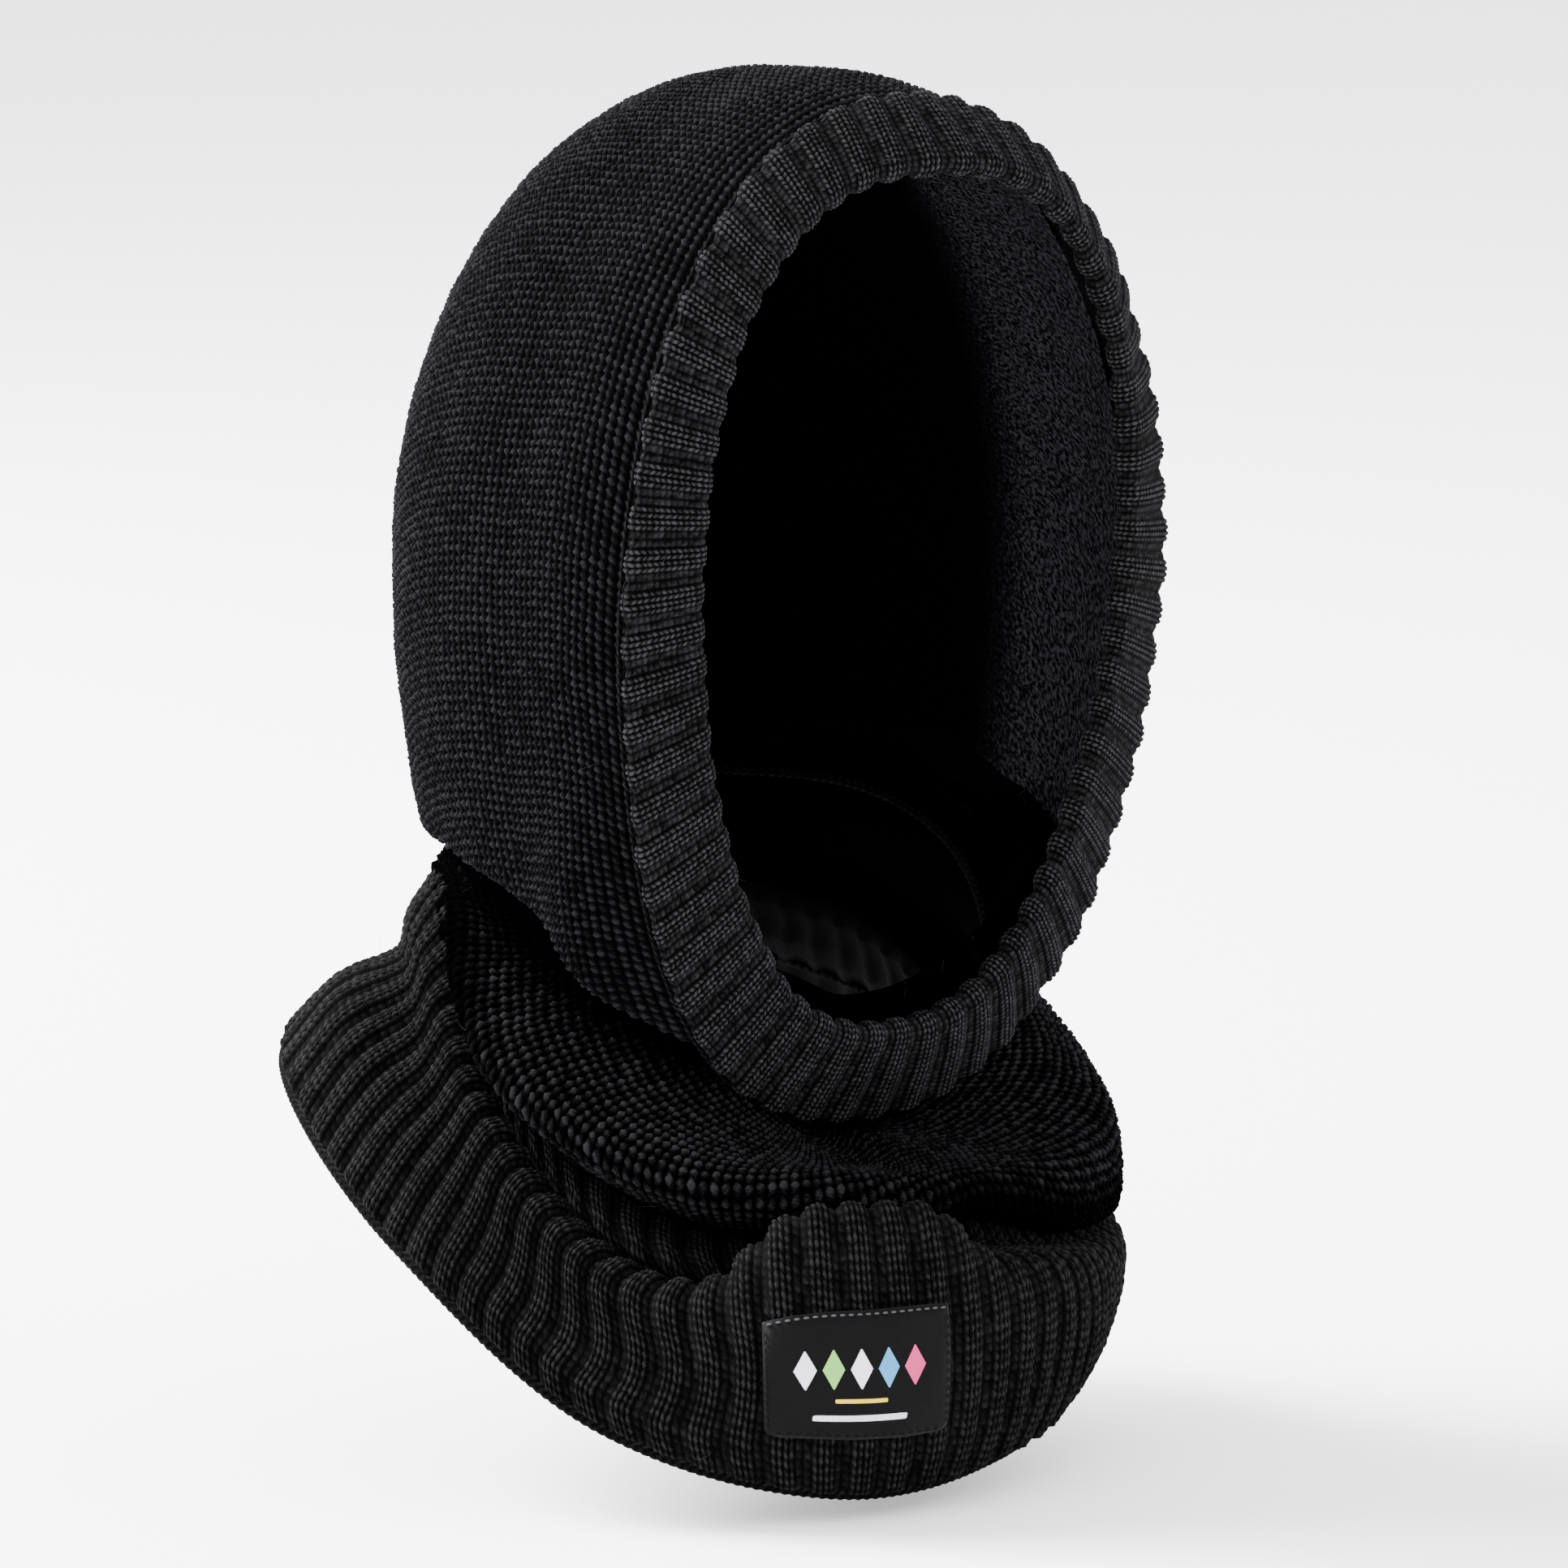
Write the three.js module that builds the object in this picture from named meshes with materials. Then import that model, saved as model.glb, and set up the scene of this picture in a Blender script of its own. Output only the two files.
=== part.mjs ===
// A knitted balaclava: a hood with a ribbed face trim and a lining, a slouched neck tube,
// a flared ribbed cowl and a sewn-on label. Millimetres, +Z up, the face looks along -Y,
// the wearer's right is -X, and the origin is the middle of the head.
import * as THREE from 'three';

const DEG = Math.PI / 180;
const TOUCH_GAP = 0.35;

// Face opening, measured on the inner fold of the trim
const OPENING_HALF_WIDTH = 68;
const OPENING_HALF_HEIGHT = 108.5;
const OPENING_CENTRE_Z = -3.5;
const OPENING_Y = -51;
const OPENING_LEAN = 8.5;
const OPENING_ROUNDNESS = 0.8;
const OPENING_TAPER = 0.11;

// Seam line where the trim meets the hood
const SEAM_HALF_WIDTH = 84.5;
const SEAM_HALF_HEIGHT = 127;
const SEAM_CENTRE_Z = -7;
const SEAM_Y = -41;
const SEAM_LEAN = 8;
const SEAM_BEND = 3;
const SEAM_ROUNDNESS = 0.94;
const SEAM_CHIN_ROUNDNESS = 0.8;
const SEAM_TAPER = 0.04;

// Trim: a band folded double between the opening and the seam line. Its rows are shares of
// the way from the inner fold to the seam.
const TRIM_HALF_THICKNESS = 3;
const TRIM_EDGE_HALF_THICKNESS = 0.25;
const TRIM_FOLD = 0.16;
const TRIM_ROWS = [0.015, 0.06, TRIM_FOLD, 0.4, 0.7, 0.985];
const TRIM_COLUMNS = 56;

// Hood: half an ellipsoid behind its widest ring
const HOOD_HALF_WIDTH = 87.5;
const HOOD_BACK_Y = 112;
const HOOD_WIDEST_Y = 6;
const CROWN_HEIGHT = 126;
const JAW_DEPTH = 175;
const BACK_SEAM_SHARE = 0.75;
const FRONT_SHARE = 0.24;
const LEAVE_OUTWARDS = 0.6;
const LEAVE_BACKWARDS = 0.8;
const CHEEK_BULGE = 7;
const HOOD_THICKNESS = 4;
const HOOD_EDGE_Z = -70;
const HOOD_EDGE_DROP = 58;
const HOOD_EDGE_REACH = 32;
const HOOD_EDGE_CURVE = 1.2;
const HOOD_FRONT_V = 0.012;
const HOOD_INSIDE_V = 0.93;
const HOOD_BACK_V = 0.988;
const HOOD_COLUMNS = 36;
const HOOD_ROWS = 14;
const CHIN_DEG = 176;

const LINING_GAP = 0.7;
const LINING_THICKNESS = 1.2;
const LINING_PARTING = 0.018;

// Seams: cords of yarn. A span is where a seam starts and ends on the surface it follows.
const SEAM_RADIUS = 1.1;
const FINE_SEAM_RADIUS = 0.7;
const LINING_SEAM_RADIUS = 0.5;
const SEAM_SIDES = 5;
const BACK_SEAM_START = 15;
const LINKING_SEAM_W = 0.95;
const CLOSING_SEAM_W = [0.2, 0.8];
const LINING_SEAM_V = [0.08, 0.78];
const NECK_SEAM_AT = 0.25;
const NECK_BACK_SEAM = [1.2, 4.6];
const COWL_BACK_SEAM = [1.3, 3.7];

// Neck tube and cowl: draped rings, each with a radius and a height every 30 degrees
// round the neck, starting at the front and going round by the wearer's right
const NECK_AXIS_Y = 5;
const STATION_DEG = 30;
const NECK_RINGS = [
  { r: [28, 33, 57, 66, 73, 82, 87, 82, 73, 66, 57, 33],
    z: [-127, -124, -104, -78, -64, -61, -60, -61, -64, -78, -104, -124] },
  { r: [30, 36, 57, 65, 73, 83, 88, 83, 73, 65, 57, 36],
    z: [-140, -139, -118, -94, -74, -70, -69, -70, -76, -94, -118, -139] },
  { r: [56, 62, 70, 74, 77, 86, 91, 86, 77, 72, 72, 62],
    z: [-145, -144, -129, -106, -79, -75, -74, -78, -86, -104, -127, -144] },
  { r: [76, 82, 86, 88, 82, 89, 95, 90, 85, 83, 86, 80],
    z: [-147, -144, -137, -117, -83, -80, -80, -88, -98, -118, -139, -148] },
  { r: [80, 86, 88, 88, 84, 90, 96, 92, 88, 86, 88, 84],
    z: [-153, -150, -144, -122, -87, -84, -85, -96, -109, -135, -158, -161] },
  { r: [72, 71, 78, 81, 80, 85, 91, 88, 84, 80, 78, 76],
    z: [-160, -156, -161, -133, -93, -90, -92, -105, -121, -147, -169, -169] },
];
const COWL_RINGS = [
  { r: [84, 86, 88, 88, 86, 91, 97, 94, 90, 86, 84, 82],
    z: [-166, -165, -164, -134, -96, -93, -95, -108, -124, -150, -172, -172] },
  { r: [96, 97, 98, 93, 90, 94, 100, 98, 94, 87, 88, 88],
    z: [-166, -166, -165, -130, -93, -91, -94, -109, -127, -151, -172, -172] },
  { r: [102, 107, 108, 102, 94, 97, 102, 102, 99, 92, 88, 90],
    z: [-178, -180, -177, -140, -103, -103, -107, -118, -133, -158, -177, -184] },
  { r: [99, 109, 113, 113, 111, 111, 112, 110, 105, 95, 86, 87],
    z: [-200, -203, -192, -152, -111, -111, -116, -123, -137, -162, -182, -196] },
  { r: [91, 105, 114, 119, 125, 124, 122, 116, 108, 97, 82, 79],
    z: [-215, -218, -201, -162, -129, -122, -122, -126, -137, -162, -186, -205] },
];
// The front of the cowl swells into a pillow that carries the label
const PILLOW_AT_DEG = 26;
const PILLOW_HALF_DEG = 17;
const PILLOW_LIFT = [8, 18, 4, 0, 0, 0];
const PILLOW_SWELL = [1, 2, 4, 2, 0, 0];
const NECK_THICKNESS = 2.6;
const COWL_THICKNESS = 4;
const COWL_END = 3.9;
const HEM_RADIUS = 2.1;
const NECK_COLUMNS = 48;
const NECK_ROWS = 10;
const COWL_ROWS = 11;

// Woven label on the right front of the cowl
const LABEL_AT_DEG = 28;
const LABEL_WIDTH = 45;
const LABEL_RADIUS = 109;
const LABEL_TOP = 1.83;
const LABEL_BOTTOM = 2.93;
const LABEL_THICKNESS = 0.7;
const LABEL_CLEARANCE = 0.8;
const STITCH_RADIUS = 0.4;
const STITCH_INSET = 0.04;
const STITCH_SIDE_INSET = 0.015;
const STITCH_CORNER = 0.09;
const STITCH_CORNER_TOP = 0.03;

const material = (color, roughness) =>
  new THREE.MeshStandardMaterial({ color, roughness, metalness: 0 });
const SHELL_YARN = material(0x3a393c, 0.95);
const TRIM_YARN = material(0x414042, 0.95);
const COWL_YARN = material(0x3a393a, 0.95);
const SEAM_YARN = material(0x2c2b2e, 0.95);
const LINING_KNIT = material(0x1d1c24, 0.9);
const LABEL_SATIN = material(0x141416, 0.55);
const LABEL_THREAD = material(0x8a8a8e, 0.7);

const smooth = (x) => x * x * (3 - 2 * x);
const clamp01 = (x) => Math.min(1, Math.max(0, x));
const power = (x, p) => Math.sign(x) * Math.abs(x) ** p;

function catmull(a, b, c, d, t) {
  return 0.5 * (2 * b + (c - a) * t + (2 * a - 5 * b + 4 * c - d) * t * t
    + (3 * b - a - 3 * c + d) * t * t * t);
}

// ---- Face opening, trim and hood. u turns about the face: 0 at the crown, 90 degrees at the
// wearer's right, 180 at the chin.

function openingEdge(u) {
  const s = Math.sin(u);
  const c = Math.cos(u);
  return new THREE.Vector3(
    -power(s, OPENING_ROUNDNESS) * (1 + OPENING_TAPER * c) * OPENING_HALF_WIDTH,
    OPENING_Y - OPENING_LEAN * c,
    OPENING_CENTRE_Z + OPENING_HALF_HEIGHT * c,
  );
}

function seamEdge(u) {
  const s = Math.sin(u);
  const c = Math.cos(u);
  const chin = smooth(clamp01(-1.6 * c));
  const roundness = SEAM_ROUNDNESS + (SEAM_CHIN_ROUNDNESS - SEAM_ROUNDNESS) * chin;
  return new THREE.Vector3(
    -power(s, roundness) * (1 + SEAM_TAPER * c) * SEAM_HALF_WIDTH,
    SEAM_Y - SEAM_LEAN * c + SEAM_BEND * Math.cos(2 * u),
    SEAM_CENTRE_Z + SEAM_HALF_HEIGHT * c,
  );
}

// The hood's half height is greater below the middle of the head than above it
const hoodHeight = (up) => (up > 0 ? CROWN_HEIGHT : JAW_DEPTH);

function widestRing(u) {
  const c = Math.cos(u);
  return new THREE.Vector3(-HOOD_HALF_WIDTH * Math.sin(u), HOOD_WIDEST_Y, hoodHeight(c) * c);
}

// w is 0 on the trim seam and 1 on the widest ring
function hoodFront(u, w) {
  const start = seamEdge(u);
  const end = widestRing(u);
  const span = start.distanceTo(end);
  const out = start.clone().sub(openingEdge(u)).normalize();
  const leave = out.multiplyScalar(LEAVE_OUTWARDS * span)
    .add(new THREE.Vector3(0, LEAVE_BACKWARDS * span, 0));
  const arrive = new THREE.Vector3(0, span, 0);
  const w2 = w * w;
  const w3 = w2 * w;
  const point = start.multiplyScalar(2 * w3 - 3 * w2 + 1)
    .addScaledVector(leave, w3 - 2 * w2 + w)
    .addScaledVector(end, 3 * w2 - 2 * w3)
    .addScaledVector(arrive, w3 - w2);
  const lowness = smooth(clamp01(-2.2 * Math.cos(u) - 0.4));
  point.x -= Math.sign(Math.sin(u)) * CHEEK_BULGE * lowness * Math.sin(Math.PI * w) ** 2;
  return point;
}

// phi is 0 on the widest ring and 90 degrees on the centre-back seam
function hoodBack(u, phi) {
  const s = Math.sin(u);
  const c = Math.cos(u);
  const kx = Math.cos(phi);
  const kz = kx + BACK_SEAM_SHARE * (1 - kx);
  const filled = (kx * s) ** 2 + (kz * c) ** 2;
  return new THREE.Vector3(
    -HOOD_HALF_WIDTH * kx * s,
    HOOD_WIDEST_Y + (HOOD_BACK_Y - HOOD_WIDEST_Y) * Math.sqrt(Math.max(0, 1 - filled)),
    hoodHeight(c) * kz * c,
  );
}

// v runs from the trim seam (0) to the centre-back seam (1)
function hoodPoint(u, v) {
  if (v < FRONT_SHARE) {
    return hoodFront(u, v / FRONT_SHARE);
  }
  return hoodBack(u, (v - FRONT_SHARE) / (1 - FRONT_SHARE) * 90 * DEG);
}

// The hood's lower edge drops from the nape to the chin
function hoodEdgeZ(y) {
  const reach = Math.max(0, (y - SEAM_Y) / HOOD_EDGE_REACH);
  return HOOD_EDGE_Z - HOOD_EDGE_DROP * Math.exp(-(reach ** HOOD_EDGE_CURVE));
}

// The turn at which a line of constant v meets the hood's lower edge, found by halving
function hoodEndAngle(v) {
  let low = 90 * DEG;
  let high = CHIN_DEG * DEG;
  for (let step = 0; step < 40; step++) {
    const middle = (low + high) / 2;
    const p = hoodPoint(middle, v);
    if (p.z > hoodEdgeZ(p.y)) {
      low = middle;
    } else {
      high = middle;
    }
  }
  return low;
}

// ---- Neck tube and cowl. theta turns about the neck: 0 at the front, 90 degrees at the
// wearer's right.

function aroundRing(values, theta) {
  const n = values.length;
  const x = ((theta / DEG / STATION_DEG) % n + n) % n;
  const i = Math.floor(x);
  const at = (k) => values[(k + n) % n];
  return catmull(at(i - 1), at(i), at(i + 1), at(i + 2), x - i);
}

function pillowWeight(theta) {
  const away = theta - PILLOW_AT_DEG * DEG;
  const turned = Math.atan2(Math.sin(away), Math.cos(away));
  return Math.exp(-((turned / DEG / PILLOW_HALF_DEG) ** 4));
}

function ringValues(rings, theta, pillow) {
  const weight = pillow ? pillowWeight(theta) : 0;
  return rings.map((ring, k) => ({
    r: aroundRing(ring.r, theta) + PILLOW_SWELL[k] * weight,
    z: aroundRing(ring.z, theta) + PILLOW_LIFT[k] * weight,
  }));
}

// s counts rings downwards from the first
function drapePoint(rings, theta, s, pillow) {
  const values = ringValues(rings, theta, pillow);
  const last = values.length - 1;
  const i = Math.min(last - 1, Math.floor(s));
  const at = (k) => values[Math.min(last, Math.max(0, k))];
  const t = s - i;
  const r = catmull(at(i - 1).r, at(i).r, at(i + 1).r, at(i + 2).r, t);
  const z = catmull(at(i - 1).z, at(i).z, at(i + 1).z, at(i + 2).z, t);
  return new THREE.Vector3(-r * Math.sin(theta), NECK_AXIS_Y - r * Math.cos(theta), z);
}

const neckPoint = (theta, s) => drapePoint(NECK_RINGS, theta, s, false);
const cowlPoint = (theta, s) => drapePoint(COWL_RINGS, theta, s, true);

// ---- Solids

function normalAt(surface, a, b) {
  const step = 1e-3;
  const da = surface(a + step, b).sub(surface(a - step, b));
  const db = surface(a, b + step).sub(surface(a, b - step));
  return da.cross(db).normalize();
}

// A surface moved along its own normal, which has to point outwards
function offsetSurface(surface, distance) {
  return (a, b) => surface(a, b).addScaledVector(normalAt(surface, a, b), distance);
}

// A closed sheet between two faces. columns and rows are the parameter values of its grid;
// with loop set, the last column joins the first.
function sheetGeometry(outer, inner, columns, rows, loop = false) {
  const vertices = [];
  const faces = [];
  for (const face of [outer, inner]) {
    for (const a of columns) {
      for (const b of rows) {
        vertices.push(...face(a, b).toArray());
      }
    }
  }
  const sheet = columns.length * rows.length;
  const id = (i, j, side) => side * sheet + (i % columns.length) * rows.length + j;
  const quad = (a, b, c, d) => faces.push(a, b, c, a, c, d);
  const spans = loop ? columns.length : columns.length - 1;
  const last = rows.length - 1;
  for (let i = 0; i < spans; i++) {
    for (let j = 0; j < last; j++) {
      quad(id(i, j, 0), id(i + 1, j, 0), id(i + 1, j + 1, 0), id(i, j + 1, 0));
      quad(id(i, j, 1), id(i, j + 1, 1), id(i + 1, j + 1, 1), id(i + 1, j, 1));
    }
    quad(id(i, 0, 0), id(i, 0, 1), id(i + 1, 0, 1), id(i + 1, 0, 0));
    quad(id(i, last, 0), id(i + 1, last, 0), id(i + 1, last, 1), id(i, last, 1));
  }
  if (!loop) {
    const end = columns.length - 1;
    for (let j = 0; j < last; j++) {
      quad(id(0, j, 0), id(0, j + 1, 0), id(0, j + 1, 1), id(0, j, 1));
      quad(id(end, j, 0), id(end, j, 1), id(end, j + 1, 1), id(end, j + 1, 0));
    }
  }
  const geometry = new THREE.BufferGeometry();
  geometry.setAttribute('position', new THREE.Float32BufferAttribute(vertices, 3));
  geometry.setIndex(faces);
  geometry.computeVertexNormals();
  return geometry;
}

const steps = (from, to, count) =>
  Array.from({ length: count + 1 }, (_, i) => from + (to - from) * i / count);
const between = ([from, to], share) => from + (to - from) * share;
const turns = (count) => Array.from({ length: count }, (_, i) => i * 2 * Math.PI / count);

// A round cord through points that a function gives; a looped one joins up with itself
function cordGeometry(pointAt, count, radius, loop) {
  if (loop) {
    const ring = new THREE.CatmullRomCurve3(turns(count).map(pointAt), true);
    return new THREE.TubeGeometry(ring, count, radius, SEAM_SIDES, true);
  }
  const path = new THREE.CatmullRomCurve3(steps(0, 1, count).map(pointAt));
  const section = new THREE.Shape();
  section.absarc(0, 0, radius, 0, 2 * Math.PI);
  return new THREE.ExtrudeGeometry(section, {
    steps: count, curveSegments: 3, extrudePath: path,
  });
}

const balaclava = new THREE.Group();

function add(name, geometry, finish) {
  const mesh = new THREE.Mesh(geometry, finish);
  mesh.name = name;
  balaclava.add(mesh);
}

// ---- Hood panel: one knitted panel over the crown, open along the centre back

function hoodSheet(t, v) {
  return hoodPoint(-t * hoodEndAngle(v), v);
}

function hoodShell(inset, thickness, columns, rows) {
  const outer = offsetSurface(hoodSheet, -inset);
  const inner = offsetSurface(hoodSheet, -inset - thickness);
  return sheetGeometry(outer, inner, columns, rows);
}

const hoodColumns = steps(-1, 1, HOOD_COLUMNS);
const hoodRows = [...steps(HOOD_FRONT_V, HOOD_INSIDE_V, HOOD_ROWS), HOOD_BACK_V];
add('hood_panel', hoodShell(0, HOOD_THICKNESS, hoodColumns, hoodRows), SHELL_YARN);

// Centre-back seam: a cord in the slot between the panel's two back edges
function backSeamPoint(share) {
  const top = hoodPoint(0, 1).z - BACK_SEAM_START;
  const foot = hoodPoint(hoodEndAngle(1), 1).z;
  const z = top + (foot - top) * share;
  const depth = (HOOD_BACK_Y - HOOD_WIDEST_Y) * Math.sqrt(1 - (z / hoodHeight(z)) ** 2);
  return new THREE.Vector3(0, HOOD_WIDEST_Y + depth - HOOD_THICKNESS / 2, z);
}
add('hood_back_seam', cordGeometry(backSeamPoint, 20, SEAM_RADIUS, false), SEAM_YARN);

// ---- Face trim: a rib band folded double round the opening
function trimMiddle(turn, w) {
  return openingEdge(-turn).lerp(seamEdge(-turn), w);
}

function trimHalf(w) {
  const fold = Math.max(0, 1 - w / TRIM_FOLD);
  return TRIM_HALF_THICKNESS * Math.sqrt(1 - fold ** 2) + TRIM_EDGE_HALF_THICKNESS;
}

const trimFace = (side) => (u, w) =>
  trimMiddle(u, w).addScaledVector(normalAt(trimMiddle, u, w), side * trimHalf(w));
const trimTurns = turns(TRIM_COLUMNS);
add('face_trim', sheetGeometry(trimFace(1), trimFace(-1), trimTurns, TRIM_ROWS, true), TRIM_YARN);

// A point that a cord of this radius runs through when it lies on the outside of the trim
function onTrim(u, w, radius) {
  const lift = TRIM_HALF_THICKNESS + TRIM_EDGE_HALF_THICKNESS + TOUCH_GAP + radius;
  return trimMiddle(u, w).addScaledVector(normalAt(trimMiddle, u, w), lift);
}

// Linking seam: a chain of yarn in the groove between the trim and the hood
const linkingSeamPoint = (u) => onTrim(u, LINKING_SEAM_W, SEAM_RADIUS);
add('trim_linking_seam', cordGeometry(linkingSeamPoint, 72, SEAM_RADIUS, true), SEAM_YARN);

// Closing seam: where the two ends of the rib band are joined, under the chin
const closingSeamPoint = (share) =>
  onTrim(CHIN_DEG * DEG, between(CLOSING_SEAM_W, share), FINE_SEAM_RADIUS);
add('trim_closing_seam', cordGeometry(closingSeamPoint, 4, FINE_SEAM_RADIUS, false), SEAM_YARN);

// ---- Lining: two fine-knit halves inside the hood, joined over the crown
const liningInset = HOOD_THICKNESS + LINING_GAP;
const liningRows = hoodRows.slice(1, -1);
const liningLeft = [LINING_PARTING, ...hoodColumns.filter((t) => t > LINING_PARTING)];
const liningRight = liningLeft.map((t) => -t).reverse();
const liningHalf = (columns) => hoodShell(liningInset, LINING_THICKNESS, columns, liningRows);
add('lining_left', liningHalf(liningLeft), LINING_KNIT);
add('lining_right', liningHalf(liningRight), LINING_KNIT);

const liningMiddle = offsetSurface(hoodSheet, -liningInset - LINING_THICKNESS / 2);
const crownSeamPoint = (share) => liningMiddle(0, between(LINING_SEAM_V, share));
add('lining_crown_seam', cordGeometry(crownSeamPoint, 16, LINING_SEAM_RADIUS, false), SEAM_YARN);

// ---- Neck tube and cowl
function tube(surface, thickness, columns, rows) {
  return sheetGeometry(
    offsetSurface(surface, thickness / 2), offsetSurface(surface, -thickness / 2),
    turns(columns), rows, true,
  );
}

const neckRows = steps(0, NECK_RINGS.length - 1, NECK_ROWS);
const cowlRows = steps(0, COWL_END, COWL_ROWS);
add('neck_tube', tube(neckPoint, NECK_THICKNESS, NECK_COLUMNS, neckRows), SHELL_YARN);
add('cowl_rib', tube(cowlPoint, COWL_THICKNESS, NECK_COLUMNS, cowlRows), COWL_YARN);

// Hidden seams lie against the inside of a tube: a ring near its top and one down its back
function insideOf(surface, thickness) {
  return offsetSurface(surface, -(thickness / 2 + SEAM_RADIUS + 2 * TOUCH_GAP));
}

function innerRing(surface, thickness, s) {
  const inside = insideOf(surface, thickness);
  return cordGeometry((theta) => inside(theta, s), NECK_COLUMNS, SEAM_RADIUS, true);
}

function backSeam(surface, thickness, span) {
  const inside = insideOf(surface, thickness);
  const pointAt = (share) => inside(Math.PI, between(span, share));
  return cordGeometry(pointAt, 10, SEAM_RADIUS, false);
}

add('neck_hood_seam', innerRing(neckPoint, NECK_THICKNESS, NECK_SEAM_AT), SEAM_YARN);
add('neck_back_seam', backSeam(neckPoint, NECK_THICKNESS, NECK_BACK_SEAM), SEAM_YARN);
add('cowl_back_seam', backSeam(cowlPoint, COWL_THICKNESS, COWL_BACK_SEAM), SEAM_YARN);

// A ring that runs past an edge of the cowl: the chain that links it to the neck tube, and the
// bound roll of yarn that casts off its hem
function edgeRing(s, inward, radius) {
  return cordGeometry((theta) => {
    const edge = cowlPoint(theta, s);
    const away = edge.clone().sub(cowlPoint(theta, s + inward)).normalize();
    return edge.addScaledVector(away, radius + 2 * TOUCH_GAP);
  }, NECK_COLUMNS, radius, true);
}
add('cowl_linking_seam', edgeRing(0, 0.1, SEAM_RADIUS), SEAM_YARN);
add('cowl_cast_off_edge', edgeRing(COWL_END, -0.1, HEM_RADIUS), COWL_YARN);

// ---- Label: a woven patch that follows the cowl, with a row of stitches along each edge.
// a runs across it from -0.5 to 0.5 and b down it from 0 to 1.
const labelBack = COWL_THICKNESS / 2 + LABEL_CLEARANCE;
const labelFront = labelBack + LABEL_THICKNESS;

function labelAt(distance) {
  const lifted = offsetSurface(cowlPoint, distance);
  return (a, b) => lifted(
    LABEL_AT_DEG * DEG + a * LABEL_WIDTH / LABEL_RADIUS,
    LABEL_TOP + (LABEL_BOTTOM - LABEL_TOP) * b,
  );
}

const patch = sheetGeometry(
  labelAt(labelFront), labelAt(labelBack), steps(-0.5, 0.5, 10), steps(0, 1, 6),
);
add('woven_label', patch, LABEL_SATIN);

const stitchAt = labelAt(labelFront + TOUCH_GAP + STITCH_RADIUS);

function stitchRow([a0, b0], [a1, b1]) {
  const pointAt = (share) => stitchAt(a0 + (a1 - a0) * share, b0 + (b1 - b0) * share);
  return cordGeometry(pointAt, 8, STITCH_RADIUS, false);
}

const end = 0.5 - STITCH_CORNER_TOP;
const side = 0.5 - STITCH_SIDE_INSET;
const stitchRows = [
  ['label_stitch_top', [-end, STITCH_INSET], [end, STITCH_INSET], LABEL_THREAD],
  ['label_stitch_bottom', [-end, 1 - STITCH_INSET], [end, 1 - STITCH_INSET], SEAM_YARN],
  ['label_stitch_right', [side, STITCH_CORNER], [side, 1 - STITCH_CORNER], SEAM_YARN],
  ['label_stitch_left', [-side, STITCH_CORNER], [-side, 1 - STITCH_CORNER], SEAM_YARN],
];
for (const [name, from, to, finish] of stitchRows) {
  add(name, stitchRow(from, to), finish);
}

export default balaclava;
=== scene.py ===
"""A knitted balaclava, stitch by stitch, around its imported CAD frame.

Every knitted piece is a grid whose columns are wales and whose rows are courses. A drape
function places the grid on the garment's surface, and a relief function raises the stitches.
Shapes are worked out in millimetres in the CAD frame and become metres when a mesh is made.
"""

import math

import bmesh
import bpy
import numpy as np
from mathutils import Matrix, Vector


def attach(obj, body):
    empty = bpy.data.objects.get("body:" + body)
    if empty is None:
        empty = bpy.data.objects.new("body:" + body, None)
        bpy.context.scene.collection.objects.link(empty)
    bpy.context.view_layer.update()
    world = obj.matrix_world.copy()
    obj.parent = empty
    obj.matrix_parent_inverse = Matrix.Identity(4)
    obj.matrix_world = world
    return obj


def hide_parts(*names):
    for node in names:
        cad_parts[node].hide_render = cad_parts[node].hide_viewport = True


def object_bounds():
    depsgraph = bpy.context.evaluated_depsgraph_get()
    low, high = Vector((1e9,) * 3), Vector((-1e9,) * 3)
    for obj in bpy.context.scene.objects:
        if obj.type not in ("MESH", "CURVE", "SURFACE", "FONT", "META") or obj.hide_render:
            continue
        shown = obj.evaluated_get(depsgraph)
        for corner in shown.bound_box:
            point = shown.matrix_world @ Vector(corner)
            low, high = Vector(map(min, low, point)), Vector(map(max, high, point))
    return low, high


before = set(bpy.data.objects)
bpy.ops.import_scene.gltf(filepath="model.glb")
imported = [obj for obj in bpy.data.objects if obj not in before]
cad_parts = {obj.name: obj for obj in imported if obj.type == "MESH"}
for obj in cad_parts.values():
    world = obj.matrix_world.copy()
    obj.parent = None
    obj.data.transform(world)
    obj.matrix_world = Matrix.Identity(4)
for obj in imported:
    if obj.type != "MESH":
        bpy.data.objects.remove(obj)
cad_box = [list(corner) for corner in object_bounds()]

MM = 0.001
PI = math.pi
ROOT = "root"

# Face opening and trim, as in the CAD
OPENING_HALF_WIDTH = 68.0
OPENING_HALF_HEIGHT = 108.5
OPENING_CENTRE_Z = -3.5
OPENING_Y = -51.0
OPENING_LEAN = 8.5
SEAM_HALF_WIDTH = 84.5
SEAM_HALF_HEIGHT = 127.0
SEAM_CENTRE_Z = -7.0
SEAM_Y = -41.0
SEAM_LEAN = 8.0
# How square and how tapered the two edges are, and how the seam's edge bows fore and aft
OPENING_FULLNESS = 0.8
OPENING_TAPER = 0.11
SEAM_FULLNESS = 0.94
SEAM_CHIN_LOSS = 0.14
SEAM_TAPER = 0.04
SEAM_BOW = 3.0

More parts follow.
